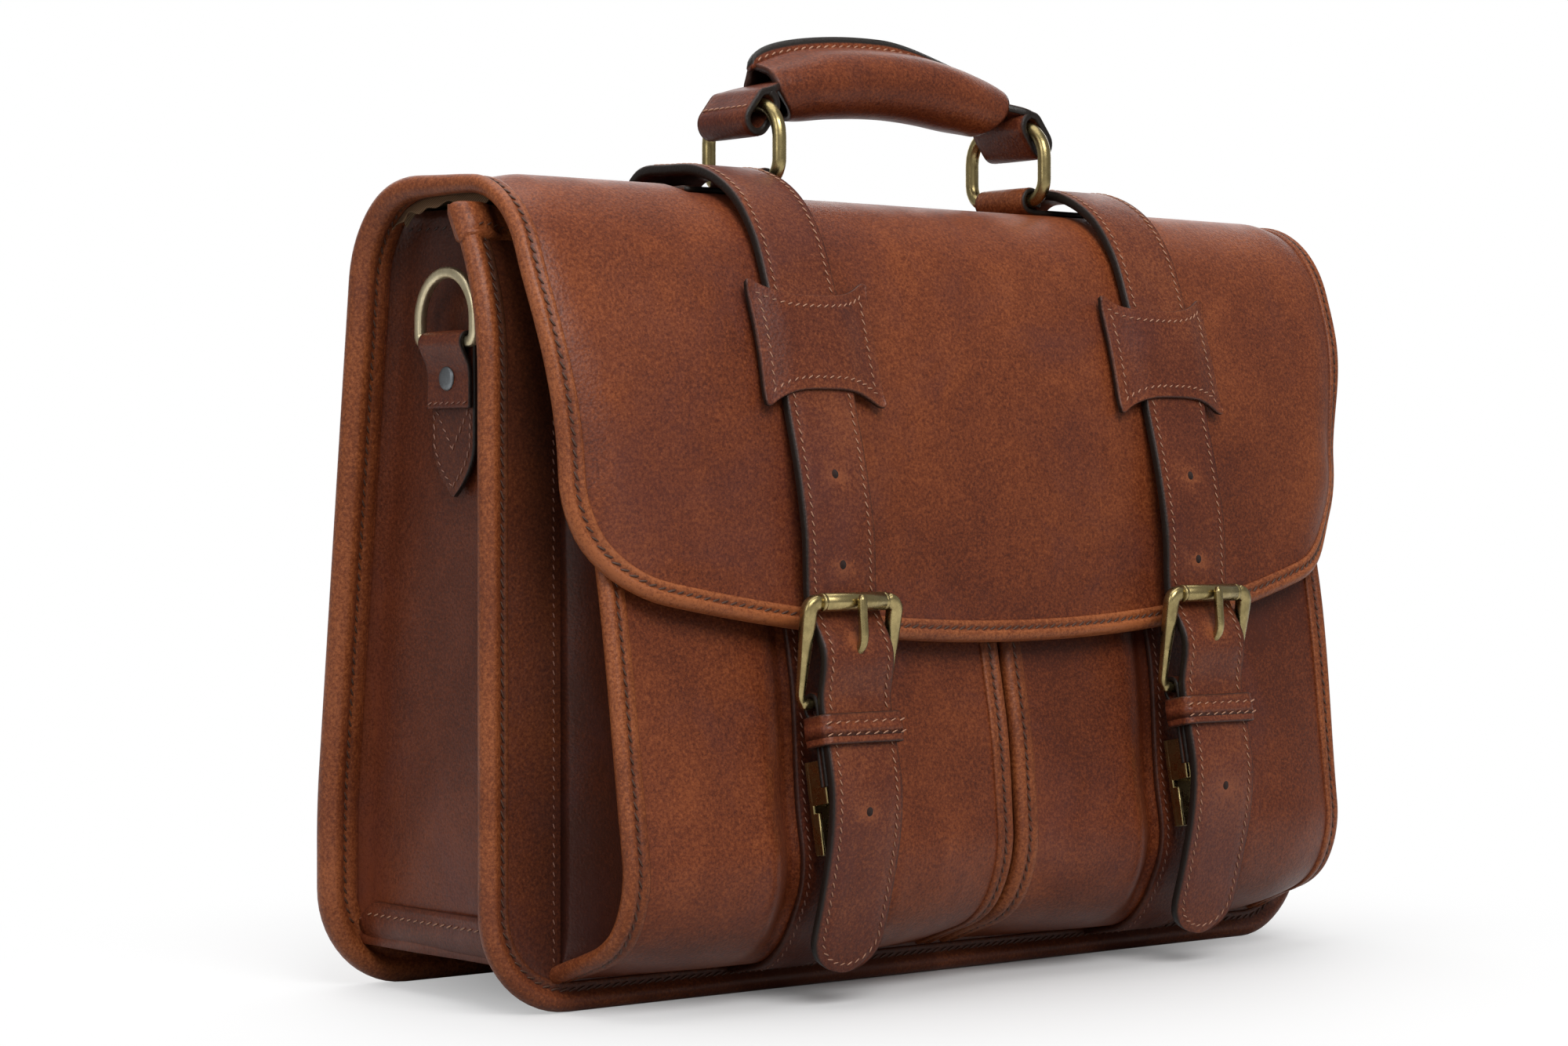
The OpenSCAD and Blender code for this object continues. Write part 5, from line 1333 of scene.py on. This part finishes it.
# Grip: a padded roll of leather, open at the ends, its edges sewn together as a fin
GRIP_BOW, GRIP_T, GRIP_FILL = 225.0, 2.6, 0.9
GRIP_END, GRIP_R, GRIP_TAPER, GRIP_RIDGE, GRIP_WRINKLE = 14.74, 13.4, 2.2, 2.6, 0.25
FIN_END, FIN_LEAN, FIN_ROOT, FIN_TOP, FIN_HALF_T, FIN_SEAM = 15.4, rad(20), 11.5, 20.5, 2.3, 4.0
t, phi = grid(np.linspace(-1, 1, 90), np.linspace(0, FULL_TURN, 64, endpoint=False))
degrees = t * (GRIP_END + 0.9 * np.cos(phi) - 0.5 * np.cos(2 * phi))
to_fin = np.angle(np.exp(1j * (phi - rad(21))))
wrinkle = GRIP_WRINKLE * np.sin(phi * 3 + t * 9) * smooth(0.3, 0.9, np.abs(t))
radius = GRIP_R - GRIP_TAPER * np.abs(t) ** 4 + GRIP_RIDGE * bell(to_fin, 0.33) + wrinkle


def grip_skin(r):
    return bow(GRIP_BOW + r * np.cos(phi), degrees, r * np.sin(phi)).reshape(-1, 3)


rings, count = t.shape
total = rings * count
verts = np.vstack([grip_skin(radius), grip_skin(radius - GRIP_T)])
faces = grid_faces(rings, count, wrap_m=True)
faces += [[i + total for i in face[::-1]] for face in faces]
for base in (0, total - count):
    for j in range(count):
        one, two = base + j, base + (j + 1) % count
        faces.append([one, two, two + total, one + total])
edge = join([np.zeros(total), np.full(total, 0.9)])
edge[:count] = edge[total - count:total] = 0.6
part = verts, faces, edge, np.full(len(verts), -0.05)
grip = piece("grip_leather", part, HIDE_SKIN, "handle", "handle_grip")
degrees = np.linspace(-FIN_END, FIN_END, 90)
root, tip = (bow(GRIP_BOW + r * math.cos(FIN_LEAN), degrees, r * math.sin(FIN_LEAN))
             for r in (FIN_ROOT, FIN_TOP))
up = unit(tip - root)
across = unit(np.cross(up, tangents(root)))
half = np.array([(-FIN_HALF_T, 0), (-FIN_HALF_T, 5.2), (-2.35, 6.0), (-1.8, 8.4), (-0.9, 8.9)])
high = np.sqrt(np.clip(1 - (np.abs(degrees) / 15.5) ** 8, 0.03, 1)) * (1 - 0.6 * smooth(1, 12, degrees))
profile = np.repeat(np.vstack([half, half[::-1] * [-1, 1]])[None], len(degrees), 0)
profile[..., 1] *= high[:, None]
edge = np.tile([0, 0, 1, 1, 1, 1, 1, 1, 0, 0], len(degrees))
piece("grip_fin", (*sweep(root, across, up, profile), edge), HIDE_SKIN, "handle")
rows = [((root + up * FIN_SEAM * high[:, None] + across * d * FIN_HALF_T)[3:-3], across[3:-3] * d)
        for d in (-1, 1)]
stitches("grip_fin_stitches", rows, HIDE_SKIN, "handle", pitch=3.8, length=3.0, thick=0.75)

# Side tabs, rings and rivets

TAB_Y, TAB_HALF, TAB_TIP = 41.0, 13.5, 20
TAB_IN, TAB_OUT, TAB_BEND_R, TAB_SIZE = 198.3, 200.6, 3.26, (2 * TAB_HALF, 2.1, 3.0, 0.1)
DRING_X, DRING_Z, DRING_R, DRING_CORNER, DRING_WIRE_R = 201.56, 241.0, 17.5, 3.6, 2.05
RIVET_Z = 228
RIVET_SECTION = [(0.0, 203.1), (2.4, 203.05), (3.6, 202.85), (4.2, 202.5), (4.5, 202.0), (4.5, 201.65),
                 (1.5, 201.6), (1.5, 198.0), (0.0, 198.0)]
for label, side in SIDES:
    path = np.vstack([pairs(TAB_IN, np.linspace(185, 239, 30)),
                      arc(TAB_BEND_R, 180, -25, 20, (DRING_X, DRING_Z)),
                      [(203.0, 236.5), (201.4, 233.5), (200.7, 230.5)],
                      pairs(TAB_OUT, np.linspace(228, 217, 6))])
    s = np.arange(0, travel(path)[-1], 0.9)
    share = np.sin(np.clip(s / TAB_TIP, 0.01, 1) * QUARTER_TURN) ** 0.8
    part, _, _ = folded_band(resample(path, s), side, TAB_Y, TAB_SIZE, share)
    piece("side_tab_leather_" + label, part, STRAP_SKIN, "case", "side_tab_" + label)
    tip_z = join([np.linspace(214, 203, 8), np.linspace(202, 189.5, 12)])
    tip_y = np.interp(tip_z, [189.5, 196, 203, 214], [1.0, 7.6, 11.2, 11.6])
    lines = [(201.85, np.linspace(-11, 11, 12), 219.0)]
    lines += [(199.5, e * np.linspace(9.5, 0.5, 12), np.linspace(215.5, 203, 12)) for e in (-1, 1)]
    lines += [(199.55, e * tip_y, tip_z) for e in (-1, 1)]
    rows = [(xyz(side * x, TAB_Y + y, z), [side, 0, 0]) for x, y, z in lines]
    stitches("side_tab_stitches_" + label, rows, STRAP_SKIN, "case", pitch=3.2, length=2.7, thick=0.6,
             thread=TAB_THREAD)
    a = np.linspace(0, FULL_TURN, 24, endpoint=False)
    r, x = np.transpose(RIVET_SECTION)[..., None]
    cap = xyz(side * x, TAB_Y + r * np.cos(a), RIVET_Z + r * np.sin(a)).reshape(-1, 3)
    piece("side_rivet_cap_" + label, (cap, grid_faces(len(r), len(a), wrap_m=True)), STEEL, "case",
          "side_rivet_" + label)
    corner = DRING_R - DRING_CORNER
    wire = np.vstack([pairs(np.linspace(-13, 13, 14), 0),
                      arc(DRING_CORNER, -90, 0, 8, (corner, DRING_CORNER))[1:],
                      arc(DRING_R, 0, 180, 30, (0, 8)),
                      arc(DRING_CORNER, 180, 270, 8, (-corner, DRING_CORNER))[:-1]])
    wire = xyz(side * DRING_X, TAB_Y + wire[:, 0], DRING_Z + wire[:, 1])
    part = tube(wire, DRING_WIRE_R, True, up=X_AXIS, count=16, power=3.2)
    piece("side_ring_wire_" + label, part, PALE_BRASS, "side_ring_" + label, "side_ring_" + label)

# Stage: pale floor that fades to white, white surround, soft studio light, the photo's camera

FLOOR_HALF, FADE_FROM, FADE_TO = 30, 0.02, 0.40         # metres


def grey(level):
    return (level, level, level, 1)


floor_mesh = bpy.data.meshes.new("floor")
floor_corners = [(x * FLOOR_HALF, y * FLOOR_HALF, 0) for x, y in ((-1, -1), (1, -1), (1, 1), (-1, 1))]
floor_mesh.from_pydata(floor_corners, [], [(0, 1, 2, 3)])
m = Shade("floor_white")
m.put(m.bsdf, Base_Color=grey(0.8), Roughness=0.7, Specular_IOR_Level=0.1)
ray = m.add("LightPath").outputs
away = m.add("VectorMath", operation="LENGTH")
m.feed(away.inputs[0], m.add("TexCoord").outputs["Object"])
fade = m.put(m.add("MapRange", interpolation_type="SMOOTHSTEP"), Value=away.outputs["Value"],
             From_Min=FADE_FROM, From_Max=FADE_TO).outputs[0]
dim, pale = (m.put(m.add("BsdfDiffuse"), Color=grey(level)).outputs[0] for level in (0.3, 0.75))
seen = m.choose(fade, m.bsdf.outputs[0], m.add("Emission").outputs[0])
unseen = m.choose(ray["Is Glossy Ray"], dim, pale)
m.put(m.out, Surface=m.choose(ray["Is Camera Ray"], unseen, seen))
floor_mesh.materials.append(m.mat)
floor = show("floor", floor_mesh)

world = bpy.data.worlds.new("studio")
bpy.context.scene.world = world
sky = Nodes(world)
ray = sky.add("LightPath").outputs
lit, shiny, white = (sky.put(sky.add("Background"), Color=grey(1), Strength=strength).outputs[0]
                     for strength in (0.28, 0.34, 1.0))
seen = sky.math("MAXIMUM", ray["Is Camera Ray"], ray["Is Transmission Ray"])
ends = sky.choose(seen, sky.choose(ray["Is Glossy Ray"], lit, shiny), white)
sky.put(sky.add("OutputWorld"), Surface=ends)


def lamp(name, place, aim, size, power):
    light = bpy.data.lights.new(name, "AREA")
    light.shape = "RECTANGLE"
    light.size, light.size_y = size
    light.energy = power
    obj = show(name, light)
    obj.location = place
    x, y, z = np.subtract(aim, place)
    obj.rotation_euler = (math.atan2(math.hypot(x, y), -z), 0, math.atan2(y, x) - QUARTER_TURN)


lamp("key", (-0.75, -2.1, 1.9), (0, 0, 0.18), (1.8, 1.4), 58)
lamp("overhead", (-0.2, 0.3, 2.5), (0, 0, 0.2), (2.6, 2.0), 34)
lamp("side", (-2.6, -0.4, 1.3), (0, 0, 0.2), (1.2, 1.6), 15)
lamp("backdrop", (1.6, 2.1, 1.1), (0, 0, 0.25), (3.6, 2.0), 40)

CAMERA_PLACE, CAMERA_LENS, CAMERA_DIP, CAMERA_TURN = (-946, -1048, 186), 83.05, 0.457, -39.67
lens = bpy.data.cameras.new("camera")
lens.lens, lens.sensor_width, lens.clip_end = CAMERA_LENS, 36, 100
camera = show("camera", lens)
camera.location = row(CAMERA_PLACE)
camera.rotation_euler = (rad(90 - CAMERA_DIP), 0, rad(CAMERA_TURN))
bpy.context.scene.camera = camera
bpy.context.scene.view_settings.view_transform = "Standard"
